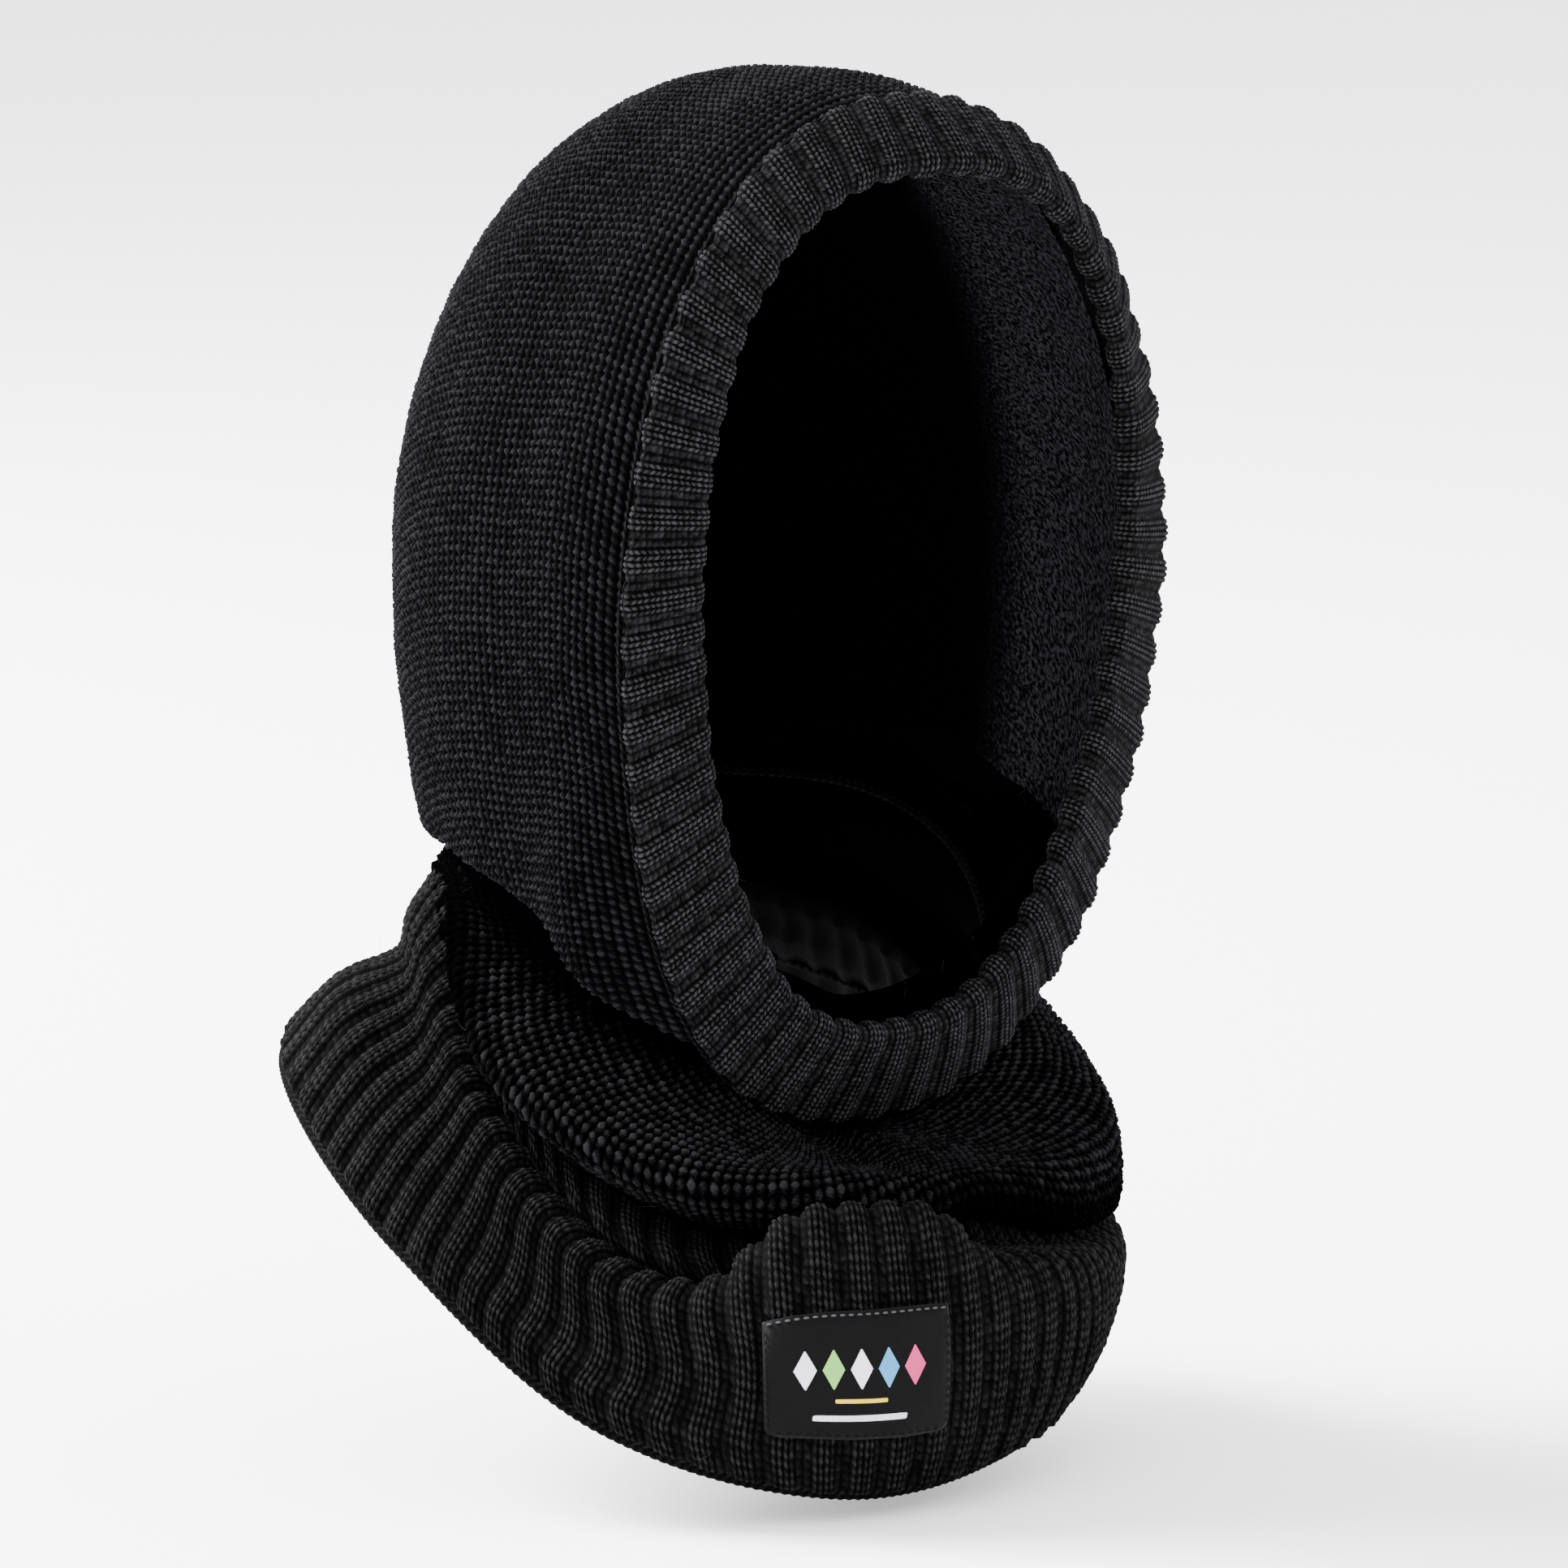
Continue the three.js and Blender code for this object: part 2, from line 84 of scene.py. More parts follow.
# Hood
HOOD_HALF_WIDTH = 87.5
HOOD_BACK_Y = 112.0
HOOD_WIDEST_Y = 6.0
CROWN_HEIGHT = 126.0
JAW_DEPTH = 175.0
BACK_SEAM_SHARE = 0.75
FRONT_SHARE = 0.24
CHEEK_BULGE = 7.0
HOOD_EDGE_Z = -70.0
HOOD_EDGE_DROP = 58.0
HOOD_EDGE_REACH = 32.0
FOLD_RADIUS = 5.5
FOLD_TURN = 3.6
BACK_SEAM_TOP = 15.0
BACK_SEAM_FOOT = 3.0
BACK_SEAM_INSET = 1.2
HOOD_ANGLE_LIMIT = 176 * PI / 180
HOOD_THICKNESS = 3.6
# Shares of the wales and the shares of the hood's depth at which they lie
HOOD_SPREAD = ([0, 0.25, 1], [0.003, FRONT_SHARE, 0.997])

# Lining: its inset from the hood's surface, and the shares of the hood's depth where it starts, fades to
# black as painted shade and ends
LINING_INSET = 6.2
LINING_THICKNESS = 0.7
LINING_START = 0.035
LINING_END = 0.92
LINING_SHADE_START = 0.20
LINING_SHADE_SPAN = 0.12
LINING_SAMPLES = 401
LINING_HALF_SAMPLES = 197
LINING_SWAY = (9, 0.25)
CROWN_SEAM_SPAN = (0.08, 0.78)
CROWN_SEAM_INSET = 5.6

# Trim: points of the folded band's section, each as a share of the band's reach, a distance
# added to it and a height over the band's middle
TRIM_FOLD_RADIUS = 3.2
TRIM_FOLD_SHIFT = 0.8
TRIM_FRONT = [(1, 1.6, 0.2), (1, 1.7, 1.5), (1, 0.7, 2.9), (0.78, 0, 3.4), (0.5, 0, 3.6), (0.28, 0, 3.45)]
TRIM_BACK = [(0.35, 0, -3.0), (0.6, 0, -2.8), (0.85, 0, -2.4), (1, -1.0, -1.6)]
TRIM_THICKNESS = 1.6
CLOSING_SEAM_SPAN = (0.12, 0.9)
CLOSING_SEAM_LIFT = 3.5

# Neck tube and cowl: draped rings, each with a radius and a height every 30 degrees round
# the neck, from the front round by the wearer's right
NECK_AXIS_Y = 5.0
STATION_DEG = 30.0
NECK_RINGS = [
    ([28, 33, 57, 66, 73, 82, 87, 82, 73, 66, 57, 33],
     [-127, -124, -104, -78, -64, -61, -60, -61, -64, -78, -104, -124]),
    ([30, 36, 57, 65, 73, 83, 88, 83, 73, 65, 57, 36],
     [-140, -139, -118, -94, -74, -70, -69, -70, -76, -94, -118, -139]),
    ([56, 62, 70, 74, 77, 86, 91, 86, 77, 72, 72, 62],
     [-145, -144, -129, -106, -79, -75, -74, -78, -86, -104, -127, -144]),
    ([76, 82, 86, 88, 82, 89, 95, 90, 85, 83, 86, 80],
     [-147, -144, -137, -117, -83, -80, -80, -88, -98, -118, -139, -148]),
    ([80, 86, 88, 88, 84, 90, 96, 92, 88, 86, 88, 84],
     [-153, -150, -144, -122, -87, -84, -85, -96, -109, -135, -158, -161]),
    ([72, 71, 78, 81, 80, 85, 91, 88, 84, 80, 78, 76],
     [-160, -156, -161, -133, -93, -90, -92, -105, -121, -147, -169, -169]),
]
COWL_RINGS = [
    ([84, 86, 88, 88, 86, 91, 97, 94, 90, 86, 84, 82],
     [-166, -165, -164, -134, -96, -93, -95, -108, -124, -150, -172, -172]),
    ([96, 97, 98, 93, 90, 94, 100, 98, 94, 87, 88, 88],
     [-166, -166, -165, -130, -93, -91, -94, -109, -127, -151, -172, -172]),
    ([102, 107, 108, 102, 94, 97, 102, 102, 99, 92, 88, 90],
     [-178, -180, -177, -140, -103, -103, -107, -118, -133, -158, -177, -184]),
    ([99, 109, 113, 113, 111, 111, 112, 110, 105, 95, 86, 87],
     [-200, -203, -192, -152, -111, -111, -116, -123, -137, -162, -182, -196]),
    ([91, 105, 114, 119, 125, 124, 122, 116, 108, 97, 82, 79],
     [-215, -218, -201, -162, -129, -122, -122, -126, -137, -162, -186, -205]),
]
PILLOW_AT_DEG = 26.0
PILLOW_HALF_DEG = 17.0
PILLOW_LIFT = [8, 18, 4, 0, 0]
PILLOW_SWELL = [1, 2, 4, 2, 0]

# Knit gauges
HOOD_WALES = 38
HOOD_WALE = 5.3
HOOD_COURSE = 2.5
TRIM_RIBS = 64
TRIM_COURSE = 1.5
NECK_WALES = 104
NECK_WALE = 5.2
NECK_COURSE = 3.1
COWL_RIBS = 70
COWL_COURSE = 2.4
KNIT_SHARE = 0.29
PURL_SHARE = 0.21
CHAIN_PITCH = 2.4
CHAIN_SIDES = 10
CHAIN_SEED = 5
CHAIN_RADIUS = 1.0
NECK_THICKNESS = 2.6
NECK_SEAM_INSET = 2.8
COWL_THICKNESS = 4.0
COWL_SEAM_INSET = 3.6
CLOSING_SEAM_U = math.radians(176)
# The neck tube ends in the dark gap over the cowl, and the cowl starts there with a small roll
NECK_LEAN = math.radians(24)
ROLL_LEAN = math.radians(22)
RIB_WAVE = math.radians(1.1)
# Where the ribs lean and wave: a direction round the neck and how far that reaches, in degrees,
# and where the wave starts and how long it is, in rings
ROLL_LEAN_AT = (68, 34)
WAVE_AT = (60, 20)
COUNTER_WAVE_AT = (108, 20)
COUNTER_WAVE_SHARE = 0.35
WAVE_START = 3.9
WAVE_LENGTH = 1.9
GAP_RING = ([70, 66, 66, 76, 81, 86, 93, 88, 83, 80, 82, 75],
            [-156, -160, -156, -128, -86, -84, -86, -98, -112, -140, -164, -165])
TOP_RING = ([30, 38, 60, 70, 74, 83, 88, 83, 76, 76, 68, 44],
            [-106, -99, -86, -70, -58, -56, -55, -56, -56, -62, -76, -100])
NECK_ROLL = [TOP_RING] + NECK_RINGS[:5] + [GAP_RING]
INNER_ROLL = ([74, 80, 86, 85, 83, 87, 94, 90, 85, 82, 84, 77],
              [-161, -168, -162, -130, -85, -84, -88, -101, -116, -144, -166, -168])
LOWER_GAP = ([78, 78, 79, 83, 83, 88, 95, 91, 86, 83, 85, 80],
             [-166, -174, -171, -134, -84, -84, -89, -104, -119, -147, -168, -170])
START_RING = ([r - 5 for r in GAP_RING[0]], [z + 8 for z in GAP_RING[1]])
COWL_FOLDS = [START_RING, GAP_RING, INNER_ROLL, LOWER_GAP] + COWL_RINGS[1:]
COWL_LIFT = [0, 0, 4, 10] + PILLOW_LIFT[1:]
COWL_SWELL = [0, 0, 0, 0] + PILLOW_SWELL[1:]

LABEL_AT_DEG = 28.0
LABEL_WIDTH = 45.0
LABEL_HEIGHT = 31.5
LABEL_RADIUS = 109.0
LABEL_TOP = 1.83
LABEL_BOTTOM = 2.93
LABEL_THICKNESS = 0.7
LABEL_CLEARANCE = 0.8
LABEL_FACE = COWL_THICKNESS / 2 + LABEL_CLEARANCE + LABEL_THICKNESS
LABEL_CORNER = 0.10
LABEL_STEP = 0.02
LABEL_TUCK = 0.55
DOME_HEIGHT = 0.28
STITCH_SIDES = 8
STITCH_STEPS = 7
STITCH_FILL = 0.62

FIBRE_RADIUS = 0.06
FIBRES_EACH = 90
FIBRE_SEED = 71
UNEVENNESS = 0.3
# Slow and quick sway of the cloth: wavelength and amount
SLOW_SWAY = (46, 0.45)
QUICK_SWAY = (17, 0.18)
SWAY_WAVES = 6
SWAY_GAIN = 1.6
# Height of a rib that lies level with the cloth's own face
LEVEL_RIB = 0.6
INNER_SHADE = 0.3

CAMERA_AZIMUTH = -39.0
CAMERA_ELEVATION = 8.0
CAMERA_DISTANCE = 2.5
CAMERA_LENS = 227.0
CAMERA_DROP = 0.0545
CAMERA_REACH = 50
SENSOR_WIDTH = 36
FLOOR_HALF = 6.0
FLOOR_GAP = 0.003


# ---- Small helpers


def smooth(x):
    x = np.clip(x, 0.0, 1.0)
    return x * x * (3 - 2 * x)


def power(x, p):
    return np.sign(x) * np.abs(x) ** p


def vec(x, y, z):
    return np.stack(np.broadcast_arrays(x, y, z), axis=-1).astype(float)


def unit(a):
    return a / np.maximum(np.linalg.norm(a, axis=-1, keepdims=True), 1e-9)


def catmull(a, b, c, d, t):
    return 0.5 * (
        2 * b
        + (c - a) * t
        + (2 * a - 5 * b + 4 * c - d) * t * t
        + (3 * b - a - 3 * c + d) * t**3
    )


def along(curves, wanted):
    """Points at distances wanted[i, j] along curve i of curves[i, k], held at its two ends."""
    steps = np.linalg.norm(np.diff(curves, axis=1), axis=-1)
    run = np.concatenate([np.zeros((len(curves), 1)), np.cumsum(steps, axis=1)], axis=1)
    out = np.empty(wanted.shape + (3,))
    for i in range(len(curves)):
        for k in range(3):
            out[i, :, k] = np.interp(wanted[i], run[i], curves[i, :, k])
    return out, run[:, -1]


# ---- The garment's surfaces, in millimetres


def opening_edge(u):
    s, c = np.sin(u), np.cos(u)
    return vec(
        -power(s, OPENING_FULLNESS) * (1 + OPENING_TAPER * c) * OPENING_HALF_WIDTH,
        OPENING_Y - OPENING_LEAN * c,
        OPENING_CENTRE_Z + OPENING_HALF_HEIGHT * c,
    )


def seam_edge(u):
    s, c = np.sin(u), np.cos(u)
    fullness = np.where(c > 0, SEAM_FULLNESS, SEAM_FULLNESS - SEAM_CHIN_LOSS * smooth(-1.6 * c))
    return vec(
        -power(s, fullness) * (1 + SEAM_TAPER * c) * SEAM_HALF_WIDTH,
        SEAM_Y - SEAM_LEAN * c + SEAM_BOW * np.cos(2 * u),
        SEAM_CENTRE_Z + SEAM_HALF_HEIGHT * c,
    )


def hood_height(c):
    """The hood's half height, over the head where c is above 0 and under it elsewhere."""
    return np.where(c > 0, CROWN_HEIGHT, JAW_DEPTH)


def hood_front(u, w):
    """w is 0 on the trim seam and 1 on the hood's widest ring."""
    c = np.cos(u)
    start = seam_edge(u)
    end = vec(-HOOD_HALF_WIDTH * np.sin(u), HOOD_WIDEST_Y + 0 * u, hood_height(c) * c)
    span = np.linalg.norm(end - start, axis=-1, keepdims=True)
    leave = unit(start - opening_edge(u)) * 0.6 * span + span * np.array([0, 0.8, 0])
    arrive = span * np.array([0, 1.0, 0])
    w1 = w[..., None]
    w2, w3 = w1**2, w1**3
    point = (
        start * (2 * w3 - 3 * w2 + 1)
        + leave * (w3 - 2 * w2 + w1)
        + end * (3 * w2 - 2 * w3)
        + arrive * (w3 - w2)
    )
    cheek = CHEEK_BULGE * smooth(-2.2 * c - 0.4) * np.sin(PI * w) ** 2
    point[..., 0] -= np.sign(np.sin(u)) * cheek
    return point


def hood_back(u, phi):
    """phi is 0 on the widest ring and a right angle on the centre-back seam."""
    s, c = np.sin(u), np.cos(u)
    kx = np.cos(phi)
    kz = kx + BACK_SEAM_SHARE * (1 - kx)
    filled = (kx * s) ** 2 + (kz * c) ** 2
    depth = (HOOD_BACK_Y - HOOD_WIDEST_Y) * np.sqrt(np.maximum(0, 1 - filled))
    return vec(-HOOD_HALF_WIDTH * kx * s, HOOD_WIDEST_Y + depth, hood_height(c) * kz * c)


def hood_point(u, v):
    """v runs from the trim seam (0) to the centre-back seam (1)."""
    u, v = np.broadcast_arrays(u, v)
    front = hood_front(u, np.clip(v / FRONT_SHARE, 0, 1))
    back = hood_back(u, np.clip((v - FRONT_SHARE) / (1 - FRONT_SHARE), 0, 1) * PI / 2)
    return np.where((v < FRONT_SHARE)[..., None], front, back)


def hood_edge_z(y):
    reach = np.maximum(0, (y - SEAM_Y) / HOOD_EDGE_REACH)
    return HOOD_EDGE_Z - HOOD_EDGE_DROP * np.exp(-(reach**1.2))


def hood_end_angle(v):
    """The angle at which the hood's edge ends ring v, found by halving."""
    low, high = np.full(v.shape, PI / 2), np.full(v.shape, HOOD_ANGLE_LIMIT)
    for _ in range(36):
        middle = (low + high) / 2
        p = hood_point(middle, v)
        above = p[..., 2] > hood_edge_z(p[..., 1])
        low, high = np.where(above, middle, low), np.where(above, high, middle)
    return low


def around_ring(values, theta):
    """A smooth closed curve through values, which stand at even steps round the neck."""
    values = np.asarray(values, float)
    n = len(values)
    x = np.degrees(theta) / STATION_DEG % n
    i = np.floor(x).astype(int)
    return catmull(values[(i - 1) % n], values[i % n], values[(i + 1) % n], values[(i + 2) % n], x - i)


def degrees_off(theta, centre_deg):
    off = theta - math.radians(centre_deg)
    return np.degrees(np.arctan2(np.sin(off), np.cos(off)))


def pillow_weight(theta):
    return np.exp(-((degrees_off(theta, PILLOW_AT_DEG) / PILLOW_HALF_DEG) ** 4))


def bell(theta, centre_deg, half_deg):
    """1 at a direction round the neck and 0 well away from it."""
    return np.exp(-((degrees_off(theta, centre_deg) / half_deg) ** 2))


def drape(rings, theta, s, lift=None, swell=None):
    """Points of the draped surface at the angles theta and the places s, which count rings
    downwards. Each of a plain list of angles is taken at every place."""
    theta = np.asarray(theta, float)
    if theta.ndim == 1:
        theta = theta[:, None]
    theta, s = np.broadcast_arrays(theta, np.asarray(s, float))
    last = len(rings) - 1
    weight = pillow_weight(theta)
    i = np.minimum(last - 1, np.floor(s).astype(int))
    sides = []
    for part, extra in ((0, swell), (1, lift)):
        stack = np.stack([
            around_ring(ring[part], theta) + (extra[j] * weight if extra else 0)
            for j, ring in enumerate(rings)
        ])
        pick = [np.take_along_axis(stack, np.clip(i + d, 0, last)[None], 0)[0] for d in (-1, 0, 1, 2)]
        sides.append(catmull(*pick, s - i))
    r, z = sides
    return vec(-r * np.sin(theta), NECK_AXIS_Y - r * np.cos(theta), z)


def even_angles(ring, share):
    """Angles that step evenly along a closed curve, given by ring(angle), at shares of its length."""
    angle = np.linspace(0, 2 * PI, 2000)
    points = ring(angle)
    run = np.concatenate([[0], np.cumsum(np.linalg.norm(np.diff(points, axis=0), axis=1))])
    return np.interp(share * run[-1], run, angle), run[-1]


# ---- Stitches

IN_PLAIN = np.array([0.0, 0.1, 0.25, 0.4, 0.5, 0.6, 0.75, 0.9])
IN_WALE = np.array([0.0, 0.17, 0.33, 0.5, 0.67, 0.83])
IN_PURL = np.array([0.0, 0.3, 0.7])
IN_COURSE = np.array([0.0, 0.33, 0.67])
TONE_TABLE = (997, 499)


def plain_columns(wales):
    """Places of grid columns in wales, eight to a wale and so four to each leg of a stitch."""
    return (np.arange(wales)[:, None] + IN_PLAIN).ravel()


def rib_columns(ribs):
    """The same for ribs of four wales, two knit and then two purl."""
    rib = np.concatenate([IN_WALE, IN_WALE + 1, IN_PURL + 2, IN_PURL + 3])
    return (np.arange(ribs)[:, None] * 4 + rib).ravel()


def rib_place(a):
    """Where wale a lies, in ribs: a knit wale is wider than a purl one."""
    x = a % 4
    return np.floor(a / 4) + np.where(x < 2, x * KNIT_SHARE, 2 * KNIT_SHARE + (x - 2) * PURL_SHARE)


def course_rows(courses):
    return np.append((np.arange(courses)[:, None] + IN_COURSE).ravel(), courses)


class Plain:
    """Plain knit: the two legs of each stitch lean towards each other."""

    def __init__(self, lean, slant, height, bridge=0.08, rib=0.0, core=0.1, fullness=0.5):
        self.lean, self.slant, self.height = lean, slant, height
        self.bridge, self.rib, self.core, self.fullness = bridge, rib, core, fullness

    def purl(self, a):
        return np.zeros_like(a, bool)

    def shift(self, a):
        """How many courses a row of stitches dips at wale a, where the V comes to its point."""
        dip = self.lean * (1 - 2 * np.abs(a % 1 - 0.5)) - self.lean / 2
        return np.where(self.purl(a), 0.0, dip)

    def side(self, a, b):
        """Sideways sway of a leg, in wales, so that it slants across its row."""
        way = np.sign(a % 1 - 0.5) * np.abs(np.sin(2 * PI * (a % 1)))
        return np.where(self.purl(a), 0.0, -self.slant * way * np.sin(2 * PI * b))

    def relief(self, a, b, tone):
        off = np.abs(a % 1 - 0.5)
        cross = np.clip(1 - ((off - 0.25) / 0.25) ** 2, 0, 1) ** self.fullness
        cross = np.where(off < 0.25, np.maximum(cross, self.core), cross)
        grain = np.abs(np.sin(PI * b)) ** 0.6
        return cross * (self.bridge + (1 - self.bridge) * grain) * (0.88 + 0.24 * tone)

    def raised(self, a):
        """Height of the rib at wale a, from 0 to 1."""
        return np.zeros_like(a)

    def shade(self, a):
        """Painted shade: how pale the yarn stays at wale a, less in the hollow of a rib."""
        return np.ones_like(a)


class Ribbed(Plain):
    """Two by two rib: a rounded pair of knit wales, then a hollow of two purl wales."""

    def purl(self, a):
        return a % 4 >= 2

    def relief(self, a, b, tone):
        knit = super().relief(a, b, tone)
        across = np.abs(np.sin(PI * (a % 1))) ** 0.7
        grain = np.abs(np.sin(PI * (b + 0.25 * np.cos(2 * PI * a)))) ** 0.7
        bead = (0.25 + 0.6 * grain * across) * (0.8 + 0.4 * tone)
        return np.where(self.purl(a), bead, knit)

    def raised(self, a):
        x = a % 4
        ridge = 1 - 0.45 * np.abs(x - 1) ** 2.4
        hollow = 0.55 * np.abs(x - 3) ** 2.0
        return np.where(x < 2, ridge, hollow)

    # Painted shade in the hollow between the ribs
    def shade(self, a):
        return 0.8 + 0.2 * self.raised(a)


def stitch_tone(a, b, seed):
    """One random value to each leg of each stitch."""
    table = np.random.default_rng(seed).random(TONE_TABLE)
    leg = np.floor(2 * a + 1e-6).astype(int) % TONE_TABLE[0]
    course = np.floor(b + 1e-6).astype(int) % TONE_TABLE[1]
    return table[leg, course]


def sway(points, seed, wavelength, amount):
    """A smooth random field through space, from -amount to amount."""
    rng = np.random.default_rng(seed)
    total = 0
    for _ in range(SWAY_WAVES):
        way = rng.normal(size=3)
        way /= np.linalg.norm(way) * wavelength * rng.uniform(0.7, 1.5)
        total = total + np.sin(2 * PI * (points @ way) + rng.uniform(0, 2 * PI))
    return total * amount / SWAY_WAVES * SWAY_GAIN


def drift(points, seed):
    return sway(points, seed, *SLOW_SWAY) + sway(points, seed + 1, *QUICK_SWAY)


# ---- Grids into meshes


def surface_normals(points, loop):
    if loop:
        points = np.concatenate([points[-1:], points, points[:1]])
    normals = unit(np.cross(np.gradient(points, axis=0), np.gradient(points, axis=1)))
    return normals[1:-1] if loop else normals


def link_object(name, mesh):
    piece = bpy.data.objects.new(name, mesh)
    bpy.context.scene.collection.objects.link(piece)
    return piece


def polygon_mesh(name, points, faces, layers):
    """A smooth mesh from listed faces. layers gives each vertex its place in each UV layer."""
    mesh = bpy.data.meshes.new(name)
    mesh.from_pydata((points.reshape(-1, 3) * MM).tolist(), [], faces)
    mesh.polygons.foreach_set("use_smooth", np.ones(len(mesh.polygons), bool))
    corner = np.array([loop.vertex_index for loop in mesh.loops])
    for layer, uv in layers.items():
        mesh.uv_layers.new(name=layer).data.foreach_set("uv", uv[corner].astype(np.float32).ravel())
    mesh.update(calc_edges=True)
    return link_object(name, mesh)


def tube_quads(index):
    """Faces of tubes from index[tube, step, side], each closed round its sides."""
    beside = np.roll(index, -1, axis=2)
    return np.stack([index[:, :-1], index[:, 1:], beside[:, 1:], beside[:, :-1]], -1).reshape(-1, 4).tolist()


def round_section(path, radius, side, up, turn):
    """Points round a path at the angles in turn, from radius[step, angle]."""
    way = np.cos(turn)[None, :, None] * side[:, None] + np.sin(turn)[None, :, None] * up[:, None]
    return path[:, None] + radius[..., None] * way


def grid_mesh(name, points, a, b, depth, tone, loop=False, wrap=False):
    """A mesh from points[column, row], with stitch coordinates a and b in its "knit" layer.
    With loop the last column joins the first, and with wrap the last row joins the first."""
    n, m = points.shape[:2]
    index = np.arange(n * m).reshape(n, m)
    if loop:
        index = np.concatenate([index, index[:1]])
        step = a[1:2] - a[:1]
        a = np.concatenate([a, a[-1:] + np.abs(step)])
        b = np.concatenate([b, b[:1]])
    if wrap:
        index = np.concatenate([index, index[:, :1]], axis=1)
        a = np.concatenate([a, a[:, -1:]], axis=1)
        b = np.concatenate([b, b[:, -1:] + 1], axis=1)
    rows, columns = index.shape
    bake_u, bake_v = np.meshgrid(
        0.01 + 0.98 * np.arange(rows) / (rows - 1),
        0.01 + 0.98 * np.arange(columns) / (columns - 1), indexing="ij",
    )

    def corners(values):
        return np.stack([values[:-1, :-1], values[1:, :-1], values[1:, 1:], values[:-1, 1:]], -1).ravel()

    loops = corners(index)
    count = len(loops) // 4
    mesh = bpy.data.meshes.new(name)
    mesh.vertices.add(n * m)
    mesh.vertices.foreach_set("co", (points * MM).astype(np.float32).ravel())
    mesh.loops.add(count * 4)
    mesh.polygons.add(count)
    mesh.loops.foreach_set("vertex_index", loops.astype(np.int32))
    mesh.polygons.foreach_set("loop_start", np.arange(0, count * 4, 4, dtype=np.int32))
    mesh.polygons.foreach_set("use_smooth", np.ones(count, bool))
    for layer, u, v in (("OFBake", bake_u, bake_v), ("knit", a, b)):
        uv = np.stack([corners(u), corners(v)], axis=-1).astype(np.float32)
        mesh.uv_layers.new(name=layer).data.foreach_set("uv", uv.ravel())
    # depth is what the yarn and lining colours follow: painted shade where it is low, painted highlight
    # where it is high
    for key, values in (("depth", depth), ("tone", tone)):
        mesh.attributes.new(key, "FLOAT", "POINT").data.foreach_set(
            "value", np.clip(values, 0, 1).astype(np.float32).ravel())
    mesh.update(calc_edges=True)
    return link_object(name, mesh)


def dress(piece, material, slot, *nodes):
    piece.data.materials.append(material)
    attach(piece, ROOT)
    if nodes:
        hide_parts(*nodes)
    return piece


def edge_rounding(run, total, half):
    """How full a sheet is at distance run along it: 0 at its two edges and 1 inside."""
    near = np.clip(np.minimum(run, total - run) / half, 0, 1)
    return np.sqrt(1 - (1 - near) ** 2)


def knit_sheet(name, curves, a, pitch, knit, thickness, outer, seed, loop, wale_mm,
               anchor="end", inner_rows=14, shadow=None, painted_shade_end=0, calm=None):
    """Knitted cloth laid on curves[column, sample]: a raised outer face, its edges and a plainer
    inner face. outer is how far the outer face lies out from the curves. Courses are counted
    from the curves' middle or end, and the ones that don't fit are gathered at the other end.
    shadow is the distances between which the yarn goes from black to its own colour, a painted shadow,
    painted_shade_end the distance from the far end within which it goes black again, painted shade, and calm
    the place and reach of a line along which the ribs are pressed flatter."""
    total = np.linalg.norm(np.diff(curves, axis=1), axis=-1).sum(1)[:, None]
    courses = int(math.ceil(total.max() / pitch / 2)) * 2
    rows = course_rows(courses)[None, :]
    start = total / 2 - courses * pitch / 2 if anchor == "middle" else total - courses * pitch
    straight = np.clip(start + rows * pitch, 0, total)
    fade = smooth(np.minimum(straight, total - straight) / pitch)
    b = rows + knit.shift(a)[:, None] * fade
    run = np.clip(start + b * pitch, 0, total)
    base, _ = along(curves, run)
    normals = surface_normals(base, loop)
    rise = drift(base, seed)
    wale = np.repeat(a[:, None], rows.shape[1], 1)
    course = np.repeat(rows, len(a), 0)
    tone = stitch_tone(wale, course, seed + 2)
    uneven = (stitch_tone(wale, course, seed + 3) - 0.5) * UNEVENNESS * pitch * fade
    base = base + unit(np.gradient(base, axis=1)) * uneven[..., None]
    relief = knit.relief(wale, course, tone)
    raised = knit.raised(wale)
    rim = thickness / 2 + 0.3
    full = edge_rounding(run, total, rim)
    across = unit(np.gradient(base, axis=0))
    middle = outer - thickness / 2
    if calm is not None:
        flatter = 1 - 0.55 * np.exp(-(((run - calm[0] * total) / calm[1]) ** 2))
        raised = LEVEL_RIB + (raised - LEVEL_RIB) * flatter
    lift = middle + full * (thickness / 2 + relief * knit.height + (raised - LEVEL_RIB) * knit.rib) + rise
    slant = knit.side(wale, course) * fade * wale_mm
    out = base + normals * lift[..., None] + across * slant[..., None]

    run_in = np.linspace(1, 0, inner_rows)[None, :] * total
    base_in, _ = along(curves, run_in)
    normals_in = -surface_normals(base_in, loop)
    full_in = edge_rounding(run_in, total, rim)
    raised_in = knit.raised(a)[:, None]
    rib_in = (raised_in - LEVEL_RIB) * knit.rib * 0.6
    under = middle - full_in * (thickness / 2 - rib_in) + drift(base_in, seed)
    inner = base_in + normals_in * under[..., None]
    plain = np.ones(inner.shape[:2])
    # Painted shadow: black up to the first distance of shadow; painted shade: black again near the far end
    lit = 1 if shadow is None else smooth((run - shadow[0]) / (shadow[1] - shadow[0]))
    if painted_shade_end:
        lit = lit * smooth((total - run - 0.3 * painted_shade_end) / painted_shade_end)
    layers = [
        np.concatenate([out, inner], axis=1),
        np.concatenate([wale, a[:, None] * plain], axis=1),
        np.concatenate([b, 2 * courses - run_in / pitch], axis=1),
        # The outer face's depth is the relief, lessened in rib hollows: painted shade and highlight. The
        # inner face takes painted shade, black beside a painted shadow
        np.concatenate([relief * knit.shade(wale) * lit, (0.0 if shadow else INNER_SHADE) * plain], axis=1),
        np.concatenate([tone, 0.5 * plain], axis=1),
    ]
    piece = grid_mesh(name, *(grid[:, ::-1] for grid in layers), loop=loop, wrap=True)
    if not loop:
        close_ends(piece)
    return piece


